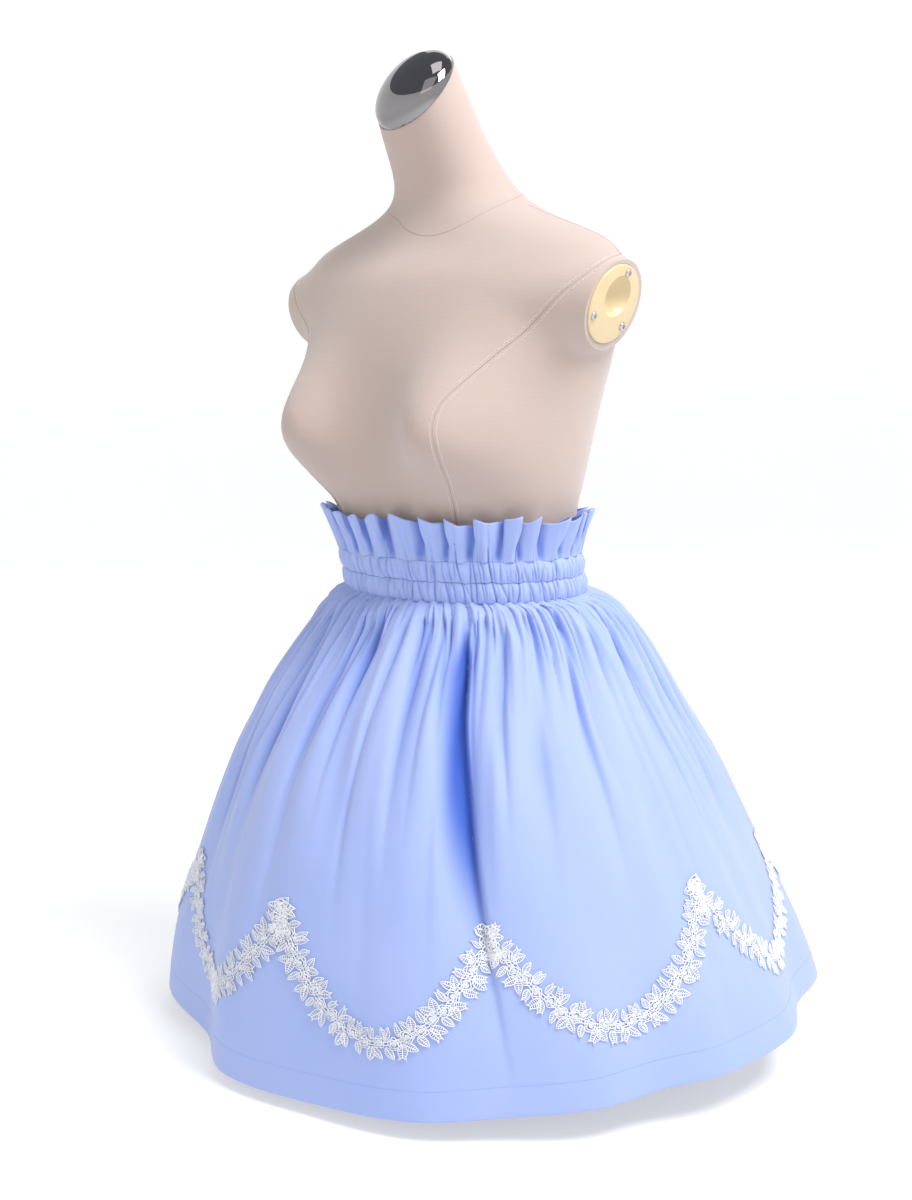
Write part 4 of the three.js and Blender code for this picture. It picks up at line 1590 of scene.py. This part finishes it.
    def leaf(self, length: float, half_width: float, tip: LeafTip) -> Mesh:
        """Makes one flat leaf along X, with a corded rim, a midrib and bars with gaps between them.

        Args:
            length: Its length.
            half_width: Half its width.
            tip: How it ends.

        Returns:
            Its points and faces.
        """
        part = Part()
        t = np.linspace(0.03, 1, 10)
        wide = half_width * np.sin(math.pi * t**0.8) ** 0.85
        x = length * t
        if tip is LeafTip.FORKED:
            wide = np.where(t > self.fork_from, half_width * (t - 0.2), wide)
        rim = np.concatenate([np.stack([x, wide], 1), np.stack([x, -wide], 1)[::-1]])
        if tip is LeafTip.FORKED:
            rim = np.insert(rim, len(t), [length * self.fork_notch, 0.0], axis=0)
        rim = np.column_stack([rim, np.full(len(rim), self.rim_height)])
        part.add(*cord_mesh(rim, self.cord, True))
        rib_end = length * self.rib_share
        rib = np.linspace([0, 0, self.rib_height], [rib_end, 0, self.rib_height], self.bar_count)
        part.add(*cord_mesh(rib, self.cord, False))
        for place in np.linspace(*self.bar_span, self.bar_count):
            end = place + self.bar_slant
            reach = np.interp(end, t, wide)
            for side in (-1, 1):
                ends = [(length * place, 0, self.bar_height), (length * end, side * reach, self.bar_height)]
                part.add(*cord_mesh(np.array(ends), self.cord * 0.9, False))
        return np.concatenate(part.points), part.faces

    @staticmethod
    def turned(points: np.ndarray, angle: float, place: tuple[float, float]) -> np.ndarray:
        """Turns flat points and moves them to their place on the trim."""
        cos, sin = math.cos(angle), math.sin(angle)
        x = points[:, 0] * cos - points[:, 1] * sin + place[0]
        y = points[:, 0] * sin + points[:, 1] * cos + place[1]
        return np.stack([x, y, points[:, 2]], axis=1)

    def spray(self, rng: np.random.Generator, length: float) -> Part:
        """Puts a scallop's roses and leaves together, flat.

        Args:
            rng: The random numbers.
            length: The scallop's length.

        Returns:
            The flat trim, with its length along X from 0.
        """
        part = Part()
        count = round(length / self.rose_pitch)
        pitch = length / count
        vine = np.linspace(0, length, self.vine_points)
        for side in (-1, 1):
            aside = side * self.vine_sway * np.cos(vine / pitch * math.pi)
            line = np.stack([vine, aside, np.full_like(vine, 0.2)], axis=1)
            part.add(*cord_mesh(line, self.cord * 1.3, False))
        for i in range(count):
            side = 1 if i % 2 else -1
            x = (i + 0.5) * pitch + play(rng, self.rose_play)
            y = side * self.rose_aside + play(rng, 0.6)
            points, faces = self.rose(rng)
            part.add(points + [x, y, 0], faces)
            for leaf in LEAF_FANS:
                angle = side * leaf.side * math.radians(leaf.degrees + play(rng, self.leaf_play))
                foot = (x + play(rng, 1) + pitch / 2, side * leaf.side * self.leaf_aside)
                self.add_leaf(part, rng, angle, foot, leaf.size)
        for degrees in END_LEAVES:
            angle = math.radians(degrees + play(rng, self.end_leaf_play))
            self.add_leaf(part, rng, angle, (play(rng, 1), 0.5), self.end_leaf_size)
        return part

    def add_leaf(self, part: Part, rng: np.random.Generator, angle: float, foot: tuple, size: float) -> None:
        """Adds one leaf.

        Args:
            part: The flat trim.
            rng: The random numbers.
            angle: The way it points.
            foot: Where it grows from.
            size: Its size against a usual leaf.
        """
        length = self.leaf_length * size * rng.uniform(0.88, 1.12)
        half_width = self.leaf_half_width * size * rng.uniform(0.9, 1.12)
        tip = LeafTip.FORKED if rng.random() < self.forked_share else LeafTip.POINTED
        points, faces = self.leaf(length, half_width, tip)
        curl = rng.uniform(0.0, 0.9)
        points[:, 2] += curl * smooth(points[:, 0] / length) ** 2
        part.add(self.turned(points, angle, foot), faces)

    def build(self) -> list[Piece]:
        """Builds all the scallops.

        Returns:
            The pieces.
        """
        pieces = []
        starts = list(LACE_PEAKS)
        for i, (start, end) in enumerate(zip(starts, [*starts[1:], starts[0] + 360])):
            rng = np.random.default_rng(self.seed + i)
            length = self.length(start, end)
            flat = self.spray(rng, length)
            placed = Part()
            placed.add(self.laid(start, end, np.concatenate(flat.points)), flat.faces)
            name = f"lace_{i + 1:02d}"
            piece = self.shop.dress(self.shop.mesh(f"{name}_trim", placed), LACE_THREAD, "lace", name)
            pieces.append(piece)
        return pieces


# The dress form


@dataclass(frozen=True)
class FormSection:
    """One level of the dress form's body."""

    height: float
    half_width: float
    half_depth: float
    shift: float


FORM = (
    FormSection(-92, 120, 90, 12),
    FormSection(-84, 143, 112, 12),
    FormSection(-44, 140, 110, 9),
    FormSection(-6, 122.6, 96.9, 3.8),
    FormSection(20, 122.6, 96.9, -1.5),
    FormSection(42, 122.6, 96.9, -6.3),
    FormSection(78, 124, 98, -9),
    FormSection(100, 132, 102, -11),
    FormSection(122, 139, 104, -12),
    FormSection(152, 146, 106, -11),
    FormSection(182, 153, 107, -9),
    FormSection(214, 163, 106, -7),
    FormSection(244, 173, 101, -6),
    FormSection(270, 181, 93, -6),
    FormSection(292, 185, 82, -7),
    FormSection(307, 184, 71, -6),
    FormSection(318, 174, 64, -5),
    FormSection(330, 146, 60, -3),
    FormSection(343, 108, 58, -1),
    FormSection(356, 78, 56, -1),
    FormSection(368, 62, 54, -5),
    FormSection(385, 53.5, 51.5, -15),
    FormSection(420, 47, 47.5, -36),
    FormSection(460, 42.5, 44, -57),
    FormSection(550, 36, 38, -106),
)

# Seams, as how far aside, to the back and up each of their places lies
PRINCESS_SEAM = (
    (192, 1, 315),
    (193, -18, 308),
    (191, -38, 298),
    (180, -50, 283),
    (166, -56, 271),
    (148, -61, 254),
    (137, -71, 239),
    (123, -86, 223),
    (111, -105, 205),
    (103, -121, 191),
    (98, -131, 180),
    (96, -137, 169),
    (96, -140, 158),
    (96, -137, 145),
    (94, -128, 129),
    (88, -112, 109),
    (80, -98, 89),
    (76, -90, 66),
)
BACK_SEAM = (
    (150, 52, 298),
    (141, 68, 272),
    (127, 78, 240),
    (108, 84, 206),
    (92, 86, 170),
    (80, 84, 128),
    (74, 78, 60),
)
SHOULDER_SEAM = ((186, 6, 301), (189, 3, 309), (176, 3, 318), (146, 2, 330), (108, 0, 344), (82, -2, 357))
NECK_SEAM = (
    (-70, 12, 360),
    (-62, -22, 355),
    (-46, -46, 349),
    (-28, -57, 343),
    (-14, -62, 334),
    (8, -65, 327),
    (27, -64, 326),
    (46, -59, 331),
    (62, -48, 339),
    (72, -30, 350),
    (72, -8, 360),
    (58, 26, 371),
    (34, 46, 377),
    (0, 54, 379),
    (-34, 46, 377),
    (-58, 30, 369),
    (-70, 12, 360),
)


@dataclass
class DressForm(Maker):
    """The covered body with its neck cap, arm plates and stand."""

    columns: int = 160
    rows: int = 170
    bust_height: float = 152
    bust_aside: float = 90
    bust_reach: float = 54
    bust_spread: float = 46
    bust_above: float = 62
    bust_below: float = 46
    bust_foot: float = 70
    bust_foot_rise: float = 30
    bust_front_blend: float = 0.4
    neck_lean: float = -4
    neck_lean_foot: float = 330
    neck_lean_rise: float = 90
    neck_cut_height: float = 453.1
    neck_cut_forward: float = -56.5
    neck_cut_tilt: float = 54
    neck_cut_turn: float = -7
    cap_half_width: float = 42
    cap_half_length: float = 43.2
    cap_thickness: float = 2
    cap_dome: float = 22
    cap_sides: int = 160
    arm_height: float = 263.4
    arm_back: float = -11
    arm_out: float = 186
    arm_droop: float = 18.2
    arm_turn: float = 4.2
    plate_radius: float = 35
    plate_thickness: float = 14
    plate_proud: float = 1.5
    plate_rounding: float = 1.6
    stub_rise: float = 1.2
    stub_back: float = 1
    stub_half_depth: float = 37.6
    stub_half_height: float = 39.2
    stub_root: float = 92
    stub_root_depth: float = 35
    stub_root_height: float = 36
    stub_root_drop: float = 46
    stub_flare: float = 1.5
    stub_spare: float = 10
    stub_rings: int = 10
    stub_sides: int = 112
    bowl_radius: float = 20
    bowl_depth: float = 11.5
    bowl_rise: float = 7
    bowl_back: float = 1.4
    bowl_steps: int = 44
    screw_radius: float = 3.6
    screw_height: float = 1.6
    screw_circle: float = 28.5
    screw_angles: tuple = (75, 202, 318)
    screw_rounding: float = 0.5
    screw_sides: int = 40
    slot_turn: float = 0.4
    seam_gap: float = 0.3
    voxel: float = 3.9
    blend_rounds: int = 48
    neck_cut_size: float = 300
    arm_cut_size: float = 200
    sharp_edge: float = 42
    plate_edge: float = 35
    screw_edge: float = 30
    stitch_pitch: float = 2.4
    stitch_offset: float = 3.0
    seam_radius: float = 0.28
    seam_sink: float = 0.12
    stitch_reach: float = 1.15
    stitch_slant: float = 0.55
    stitch_radius: float = 0.27
    stitch_sink: float = 0.1
    stitch_rise: float = 0.25
    slot_reach: float = 2.1
    slot_half_width: float = 0.42
    slot_depth: float = 0.8
    base_radius: float = 172
    base_thickness: float = 11
    base_dome: float = 5
    base_chamfer: float = 6
    base_crown: float = 50
    stand_rounding: float = 2.5
    stand_sides: int = 128
    post_radius: float = 16
    collar_radius: float = 30
    collar_height: float = 14

    def body_point(self, azimuth: Any, height: Any) -> np.ndarray:
        """Gives points of the body's surface."""
        azimuth, height = np.broadcast_arrays(np.asarray(azimuth, float), np.asarray(height, float))
        table = np.array([(row.height, row.half_width, row.half_depth, row.shift) for row in FORM], float).T
        half_width, half_depth, shift = (along_curve(table[0], column, height) for column in table[1:])
        angle = np.radians(azimuth)
        x = half_width * np.sin(angle)
        y = shift - half_depth * np.cos(angle)
        aside = (np.abs(x) - self.bust_aside) / self.bust_spread
        bust_reach = np.where(height > self.bust_height, self.bust_above, self.bust_below)
        above = (height - self.bust_height) / bust_reach
        swell = np.exp(-(aside**2) - above**2) * smooth((height - self.bust_foot) / self.bust_foot_rise)
        front = smooth(np.cos(angle) / self.bust_front_blend)
        lean = self.neck_lean * smooth((height - self.neck_lean_foot) / self.neck_lean_rise)
        return np.stack([x + lean, y - self.bust_reach * swell * front, height], axis=-1)

    def closed_body(self) -> Piece:
        """Builds the closed body, blended with the stubs of its arms."""
        height = np.linspace(FORM[0].height, FORM[-1].height, self.rows)[:, None]
        part = Part()
        points = self.body_point(azimuths(self.columns)[None, :], height)
        part.add(points, tube_faces(self.rows, self.columns))
        body = self.shop.mesh("form_cover_body", part)
        for side in (-1, 1):
            self.shop.carve(body, self.stub(side), "UNION")
        remesh = body.modifiers.new("blend", "REMESH")
        remesh.mode = "VOXEL"
        remesh.voxel_size = self.voxel * MM
        soften = body.modifiers.new("soften", "SMOOTH")
        soften.factor = 0.5
        soften.iterations = self.blend_rounds
        self.shop.settle(body)
        return body

    def arm_place(self, side: int) -> Matrix:
        """Gives where an arm's pieces go, which are built along X. The arm leans down and to the back."""
        pivot = Matrix.Translation((side * self.arm_out, self.arm_back, self.arm_height))
        turn = Matrix.Rotation(side * math.radians(self.arm_turn), 4, "Z")
        droop = Matrix.Rotation(side * math.radians(self.arm_droop), 4, "Y")
        return pivot @ turn @ droop @ Matrix.Translation((-side * self.arm_out, 0, 0))

    def stub(self, side: int) -> Piece:
        """Builds the covered stub of an arm, longer than it ends up."""
        turn = circle(self.stub_sides)[None, :]
        share = np.linspace(0, 1, self.stub_rings)[:, None]
        flare = (1 - share) ** self.stub_flare
        half_depth = self.stub_half_depth + self.stub_root_depth * (1 - share)
        half_height = self.stub_half_height + self.stub_root_height * flare
        x = self.stub_root + (self.arm_out + self.stub_spare - self.stub_root) * share
        y = self.stub_back + half_depth * np.cos(turn)
        z = self.stub_rise - self.stub_root_drop * flare + half_height * np.sin(turn)
        points = np.stack(np.broadcast_arrays(x * side, y, z), axis=-1).reshape(-1, 3)
        faces = tube_faces(self.stub_rings, self.stub_sides)
        return self.shop.solid("arm_stub", moved(points, self.arm_place(side)), faces)

    def arm_piece(
        self,
        name: str,
        side: int,
        profile: Profile,
        middle: tuple[float, float] = (0, 0),
        sides: int = 112,
    ) -> Piece:
        """Builds a turned piece of an arm, whose profile runs outwards.

        Args:
            name: The piece's name.
            side: 1 for the wearer's left, -1 for their right.
            profile: Radius and distance from the body's middle of each point.
            middle: How far to the back and up its axis lies from the arm's.
            sides: How many sides it has.

        Returns:
            The piece.
        """
        points, faces = lathe(profile, sides)
        points = points[:, [2, 0, 1]] * [side, 1, 1] + [0, *middle]
        return self.shop.solid(name, moved(points, self.arm_place(side)), faces)

    def neck_place(self, gap: float) -> Matrix:
        """Gives the place and turn of the neck's slanted cut."""
        middle = Matrix.Translation((self.neck_lean, self.neck_cut_forward, self.neck_cut_height))
        turn = Matrix.Rotation(math.radians(self.neck_cut_turn), 4, "Z")
        tilt = Matrix.Rotation(math.radians(self.neck_cut_tilt), 4, "X")
        return middle @ turn @ tilt @ Matrix.Translation((0, 0, gap))

    def cutter(self, place: Matrix, size: float) -> Piece:
        """Builds a cube that stands on the XY plane of a place."""
        half = size / 2
        corners = [(x * half, y * half, z * size) for z in (0, 1) for y in (-1, 1) for x in (-1, 1)]
        faces = np.array([(0, 2, 3, 1), (4, 5, 7, 6), (0, 1, 5, 4), (2, 6, 7, 3), (0, 4, 6, 2), (1, 3, 7, 5)])
        return self.shop.solid("cutter", moved(np.array(corners, float), place), [faces])

    def body(self) -> Piece:
        """Builds the covered body with its cuts for the cap and the arm plates."""
        body = self.closed_body()
        self.shop.carve(body, self.cutter(self.neck_place(0), self.neck_cut_size), "DIFFERENCE")
        for side in (-1, 1):
            outwards = Matrix.Rotation(side * math.pi / 2, 4, "Y")
            end = self.arm_place(side) @ Matrix.Translation((side * self.arm_out, 0, 0)) @ outwards
            self.shop.carve(body, self.cutter(end, self.arm_cut_size), "DIFFERENCE")
            radius = self.plate_radius + self.seam_gap
            back = self.arm_out - self.plate_thickness
            front = self.arm_out + self.plate_thickness
            seat = [(0, back), (radius, back), (radius, front), (0, front)]
            self.shop.carve(body, self.arm_piece("seat", side, seat), "DIFFERENCE")
        body.data.shade_smooth()
        crisp(body, self.sharp_edge)
        return self.shop.dress(body, FORM_COVER, "form_cover", "form_torso")

    def cap(self) -> Piece:
        """Builds the domed metal cap of the neck."""
        rise = np.linspace(0.1, math.pi / 2 - 0.03, 30)
        dome = [(math.cos(a), self.cap_thickness + self.cap_dome * math.sin(a)) for a in rise]
        top = self.cap_thickness + self.cap_dome
        profile = [(0, 0), (0.99, 0), (1.0, 0.4), (1.0, self.cap_thickness), *dome, (0, top)]
        points, faces = lathe(profile, self.cap_sides)
        points = points * [self.cap_half_width, self.cap_half_length, 1]
        cap = self.shop.solid("neck_cap_dome", moved(points, self.neck_place(self.seam_gap)), faces)
        crisp(cap, self.sharp_edge)
        return self.shop.dress(cap, CHROME_DARKENED, "chrome_cap", "form_neck_cap")

    def plate(self, side: int, side_name: str) -> Piece:
        """Builds an arm plate with its bowl."""
        face = self.arm_out + self.plate_proud
        back = self.arm_out - self.plate_thickness + self.seam_gap
        edge = [(0, back), (self.plate_radius, back), (self.plate_radius, face), (0, face)]
        name = f"arm_plate_{side_name}_moulding"
        disc = self.arm_piece(name, side, rounded(edge, self.plate_rounding))
        middle = face + self.bowl_radius - self.bowl_depth
        turn = np.linspace(0, math.pi, self.bowl_steps)
        ball = [(self.bowl_radius * math.sin(a), middle - self.bowl_radius * math.cos(a)) for a in turn]
        bowl = self.arm_piece("bowl", side, ball, (self.bowl_back, self.bowl_rise))
        self.shop.carve(disc, bowl, "DIFFERENCE")
        disc.data.shade_smooth()
        crisp(disc, self.plate_edge)
        return self.shop.dress(disc, CREAM, "cream_plastic", f"form_arm_plate_{side_name}")

    def screw(self, side: int, side_name: str, index: int) -> Piece:
        """Builds one pan-head screw with a cross recess."""
        angle = math.radians(self.screw_angles[index])
        middle = (self.screw_circle * math.cos(angle), self.screw_circle * math.sin(angle))
        foot = self.arm_out + self.plate_proud + self.seam_gap
        top = foot + self.screw_height
        r = self.screw_radius
        profile = [(0, foot), (r, foot), (r, foot + 0.35 * self.screw_height), (r * 0.72, top), (0, top)]
        name = f"screw_{side_name}_{index + 1}_head"
        profile = rounded(profile, self.screw_rounding)
        head = self.arm_piece(name, side, profile, middle, self.screw_sides)
        for turn in (self.slot_turn, self.slot_turn + math.pi / 2):
            along = np.array([math.cos(turn), math.sin(turn)]) * self.slot_reach
            across = np.array([-math.sin(turn), math.cos(turn)]) * self.slot_half_width
            corners = [along + across, across - along, -along - across, along - across]
            points = [(side * x, *(middle + c)) for x in (top - self.slot_depth, top + 1) for c in corners]
            points = moved(np.array(points), self.arm_place(side))
            slot = self.shop.solid("slot", points, tube_faces(2, len(corners)))
            self.shop.carve(head, slot, "DIFFERENCE")
        crisp(head, self.screw_edge)
        return self.shop.dress(head, STEEL, "screw_steel", f"form_screw_{side_name}_{index + 1}")

    def stand(self) -> list[Piece]:
        """Builds the post and the round base."""
        top = -FLOOR_DROP + self.base_thickness + self.base_dome
        foot = FORM[0].height
        low = -FLOOR_DROP
        post = [
            (0, top + self.seam_gap),
            (self.collar_radius, top + self.seam_gap),
            (self.collar_radius * 0.8, top + self.collar_height),
            (self.post_radius, top + self.collar_height * 2),
            (self.post_radius, foot - self.seam_gap),
            (0, foot - self.seam_gap),
        ]
        base = [
            (0, low),
            (self.base_radius, low),
            (self.base_radius, low + self.base_thickness * 0.6),
            (self.base_radius - self.base_chamfer, low + self.base_thickness),
            (self.base_crown, top),
            (0, top),
        ]
        pieces = []
        for name, profile, node in (("stand_post", post, "form_post"), ("stand_base", base, "form_base")):
            points, faces = lathe(rounded(profile, self.stand_rounding), self.stand_sides)
            piece = self.shop.solid(name, points + [0, STAND_SHIFT, 0], faces)
            crisp(piece, self.sharp_edge)
            pieces.append(self.shop.dress(piece, STAND_PAINT, "stand_metal", node))
        return pieces

    def seam_path(self, tree: BVHTree, route: Any, side: int) -> tuple[np.ndarray, np.ndarray]:
        """Finds a seam's points on the cover.

        Args:
            tree: The cover's surface.
            route: A few places on or near the seam.
            side: 1 for the seam as given, -1 for its mirror image.

        Returns:
            Points in millimetres and the outward direction at each.
        """
        route = np.array(route, float) * [side, 1, 1]
        length = run_along(route)
        at = np.arange(0, length[-1], self.stitch_pitch)
        guesses = np.stack([along_curve(length, route[:, axis], at) for axis in range(3)], axis=1)
        found = [tree.find_nearest(Vector(guess))[:2] for guess in guesses * MM + self.shop.seam]
        points = (np.array([place for place, _ in found]) - self.shop.seam) / MM
        soft = points.copy()
        soft[1:-1] = (points[:-2] + 2 * points[1:-1] + points[2:]) / 4
        return soft, np.array([normal for _, normal in found])

    def seams(self, body: Piece) -> list[Piece]:
        """Builds the seam lines, a painted shadow along each seam, and their rows of stitches on the cover.
        """
        tree = BVHTree.FromObject(body, bpy.context.evaluated_depsgraph_get())
        line = Part()
        stitches = Part()
        routes = ((PRINCESS_SEAM, True), (BACK_SEAM, True), (SHOULDER_SEAM, False))
        courses = [(route, side, is_sewn) for route, is_sewn in routes for side in (1, -1)]
        for route, side, is_sewn in [*courses, (NECK_SEAM, 1, False)]:
            points, normals = self.seam_path(tree, route, side)
            across = unit(np.cross(np.gradient(points, axis=0), normals))
            sunk = points - normals * self.seam_sink
            ring = [across, normals, -across, -normals]
            line.add(
                np.stack([sunk + way * self.seam_radius for way in ring], axis=1),
                tube_faces(len(points), len(ring)),
            )
            for offset in (-self.stitch_offset, self.stitch_offset) if is_sewn else ():
                self.add_stitches(stitches, points + across * offset, normals, across)
        return [
            self.shop.dress(self.shop.mesh("form_seam_lines", line), SEAM_SHADOW, "form_cover"),
            self.shop.dress(self.shop.mesh("form_seam_stitches", stitches), FORM_THREAD, "form_cover"),
        ]

    def add_stitches(self, part: Part, points: np.ndarray, normals: np.ndarray, across: np.ndarray) -> None:
        """Adds a zigzag row of small stitches beside a seam.

        Args:
            part: What they are added to.
            points: The middle of each stitch.
            normals: The way up from the cover at each.
            across: The way across the seam at each.
        """
        ahead = unit(np.gradient(points, axis=0))
        for i, (place, out, side, on) in enumerate(zip(points, normals, across, ahead)):
            slant = unit(on + side * (self.stitch_slant if i % 2 else -self.stitch_slant))
            reach = slant * self.stitch_reach
            sunk = place - out * self.stitch_sink
            line = np.array([sunk - reach, place + out * self.stitch_rise, sunk + reach])
            add_stitch(part, line, out, np.cross(out, slant), self.stitch_radius)

    def build(self) -> list[Piece]:
        """Builds the whole form.

        Returns:
            The pieces.
        """
        body = self.body()
        pieces = [body, *self.seams(body), self.cap()]
        for side, side_name in ((1, "left"), (-1, "right")):
            pieces.append(self.plate(side, side_name))
            pieces.extend(self.screw(side, side_name, i) for i in range(len(self.screw_angles)))
        return [*pieces, *self.stand()]


# The studio


@dataclass(frozen=True)
class Lamp:
    """A square light: degrees from the front and up, metres away and wide, and watts."""

    name: str
    azimuth: float
    elevation: float
    distance: float
    size: float
    power: float


LAMPS = (
    Lamp("key", 92, 54, 2.6, 1.1, 76),
    Lamp("front", 34, 46, 3.0, 1.6, 5),
    Lamp("rim", 215, 40, 3.0, 1.6, 8),
    Lamp("top", 60, 82, 3.0, 1.2, 8),
)
BACKDROP_WHITE = (0.62, 0.62, 0.62, 1)
BACKDROP_SHADE = (0.6, 0.6, 0.605, 1)
SKY = (0.9, 0.94, 1.0, 1)


@dataclass
class Studio(Maker):
    """Camera, lights and a pale round backdrop."""

    distance: float = 1550
    yaw: float = 43
    camera_height: float = 217
    aim_aside: float = -6
    aim_height: float = -12
    focal_pixels: float = 1632
    image_height: float = 1200
    sensor: float = 36
    floor_radius: float = 5.2
    wall_height: float = 4.2
    bend: float = 1.6
    floor_sides: int = 96
    aim_level: float = 0.5

    def camera(self) -> None:
        """Sets the camera up at the photo's angle."""
        turn = math.radians(self.yaw)
        ahead_way = np.array([math.sin(turn), -math.cos(turn), 0])
        aside_way = np.array([math.cos(turn), math.sin(turn), 0])
        place = ahead_way * self.distance + [0, 0, self.camera_height]
        aim = aside_way * self.aim_aside + [0, 0, self.aim_height]
        data = bpy.data.cameras.new("camera")
        data.sensor_height = self.sensor
        data.sensor_width = self.sensor
        data.sensor_fit = "AUTO"
        data.lens = self.focal_pixels / self.image_height * self.sensor
        camera = bpy.data.objects.new("camera", data)
        camera.location = Vector(place * MM + self.shop.seam)
        ahead = Vector((aim - place).tolist())
        camera.rotation_euler = ahead.to_track_quat("-Z", "Y").to_euler()
        bpy.context.scene.collection.objects.link(camera)
        bpy.context.scene.camera = camera

    def light(self, lamp: Lamp) -> None:
        """Hangs one soft square light that faces the skirt."""
        data = bpy.data.lights.new(lamp.name, "AREA")
        data.size = lamp.size
        data.energy = lamp.power
        hung = bpy.data.objects.new(lamp.name, data)
        turn, rise = math.radians(lamp.azimuth), math.radians(lamp.elevation)
        way = Vector((math.sin(turn) * math.cos(rise), -math.cos(turn) * math.cos(rise), math.sin(rise)))
        hung.location = Vector((0, 0, self.aim_level)) + way * lamp.distance
        hung.rotation_euler = (-way).to_track_quat("-Z", "Y").to_euler()
        bpy.context.scene.collection.objects.link(hung)

    def backdrop(self) -> None:
        """Builds a pale floor that rises into a wall all round."""
        flat = self.floor_radius - self.bend
        turns = np.linspace(0.1, math.pi / 2, 12)
        curve = [(flat + self.bend * math.sin(a), self.bend - self.bend * math.cos(a)) for a in turns]
        rings = [(flat, 0), *curve, (self.floor_radius, self.wall_height)]
        points = [(r * math.cos(a), r * math.sin(a), h) for r, h in rings for a in circle(self.floor_sides)]
        faces = grid_faces(len(rings), self.floor_sides, True)[:, ::-1].tolist()
        faces.append(list(range(self.floor_sides)))
        data = bpy.data.meshes.new("backdrop")
        data.from_pydata(points, [], faces)
        data.shade_smooth()
        stage = bpy.data.objects.new("backdrop", data)
        bpy.context.scene.collection.objects.link(stage)
        shader = Shader("backdrop", {"Roughness": 0.9, "Emission Strength": 0.5})
        clouds = shader.noise(shader.object_place(), 1.5)
        shader.feed(Base_Color=shader.mix(clouds, BACKDROP_WHITE, BACKDROP_SHADE))
        shader.surface.inputs["Emission Color"].default_value = (1, 1, 1, 1)
        data.materials.append(shader.material)

    def world(self) -> None:
        """Sets an even pale sky over the open top."""
        world = bpy.data.worlds.new("studio")
        world.use_nodes = True
        sky = world.node_tree.nodes["Background"]
        sky.inputs["Color"].default_value = SKY
        sky.inputs["Strength"].default_value = 0.25
        bpy.context.scene.world = world

    def build(self) -> None:
        """Sets the whole studio up."""
        self.camera()
        self.backdrop()
        self.world()
        for lamp in LAMPS:
            self.light(lamp)
        bpy.context.scene.view_settings.view_transform = "Standard"


def main() -> None:
    """Builds the pieces in order."""
    logging.basicConfig(level=logging.INFO, format="%(message)s")
    shop = Workshop()
    cloth = SkirtCloth()
    makers = (SkirtPanels(shop, cloth), WaistBand(shop), LaceTrim(shop, cloth), DressForm(shop))
    for maker in makers:
        pieces = maker.build()
        log.info("%s: %d pieces", type(maker).__name__, len(pieces))
    Studio(shop).build()


if __name__ == "__main__":
    main()
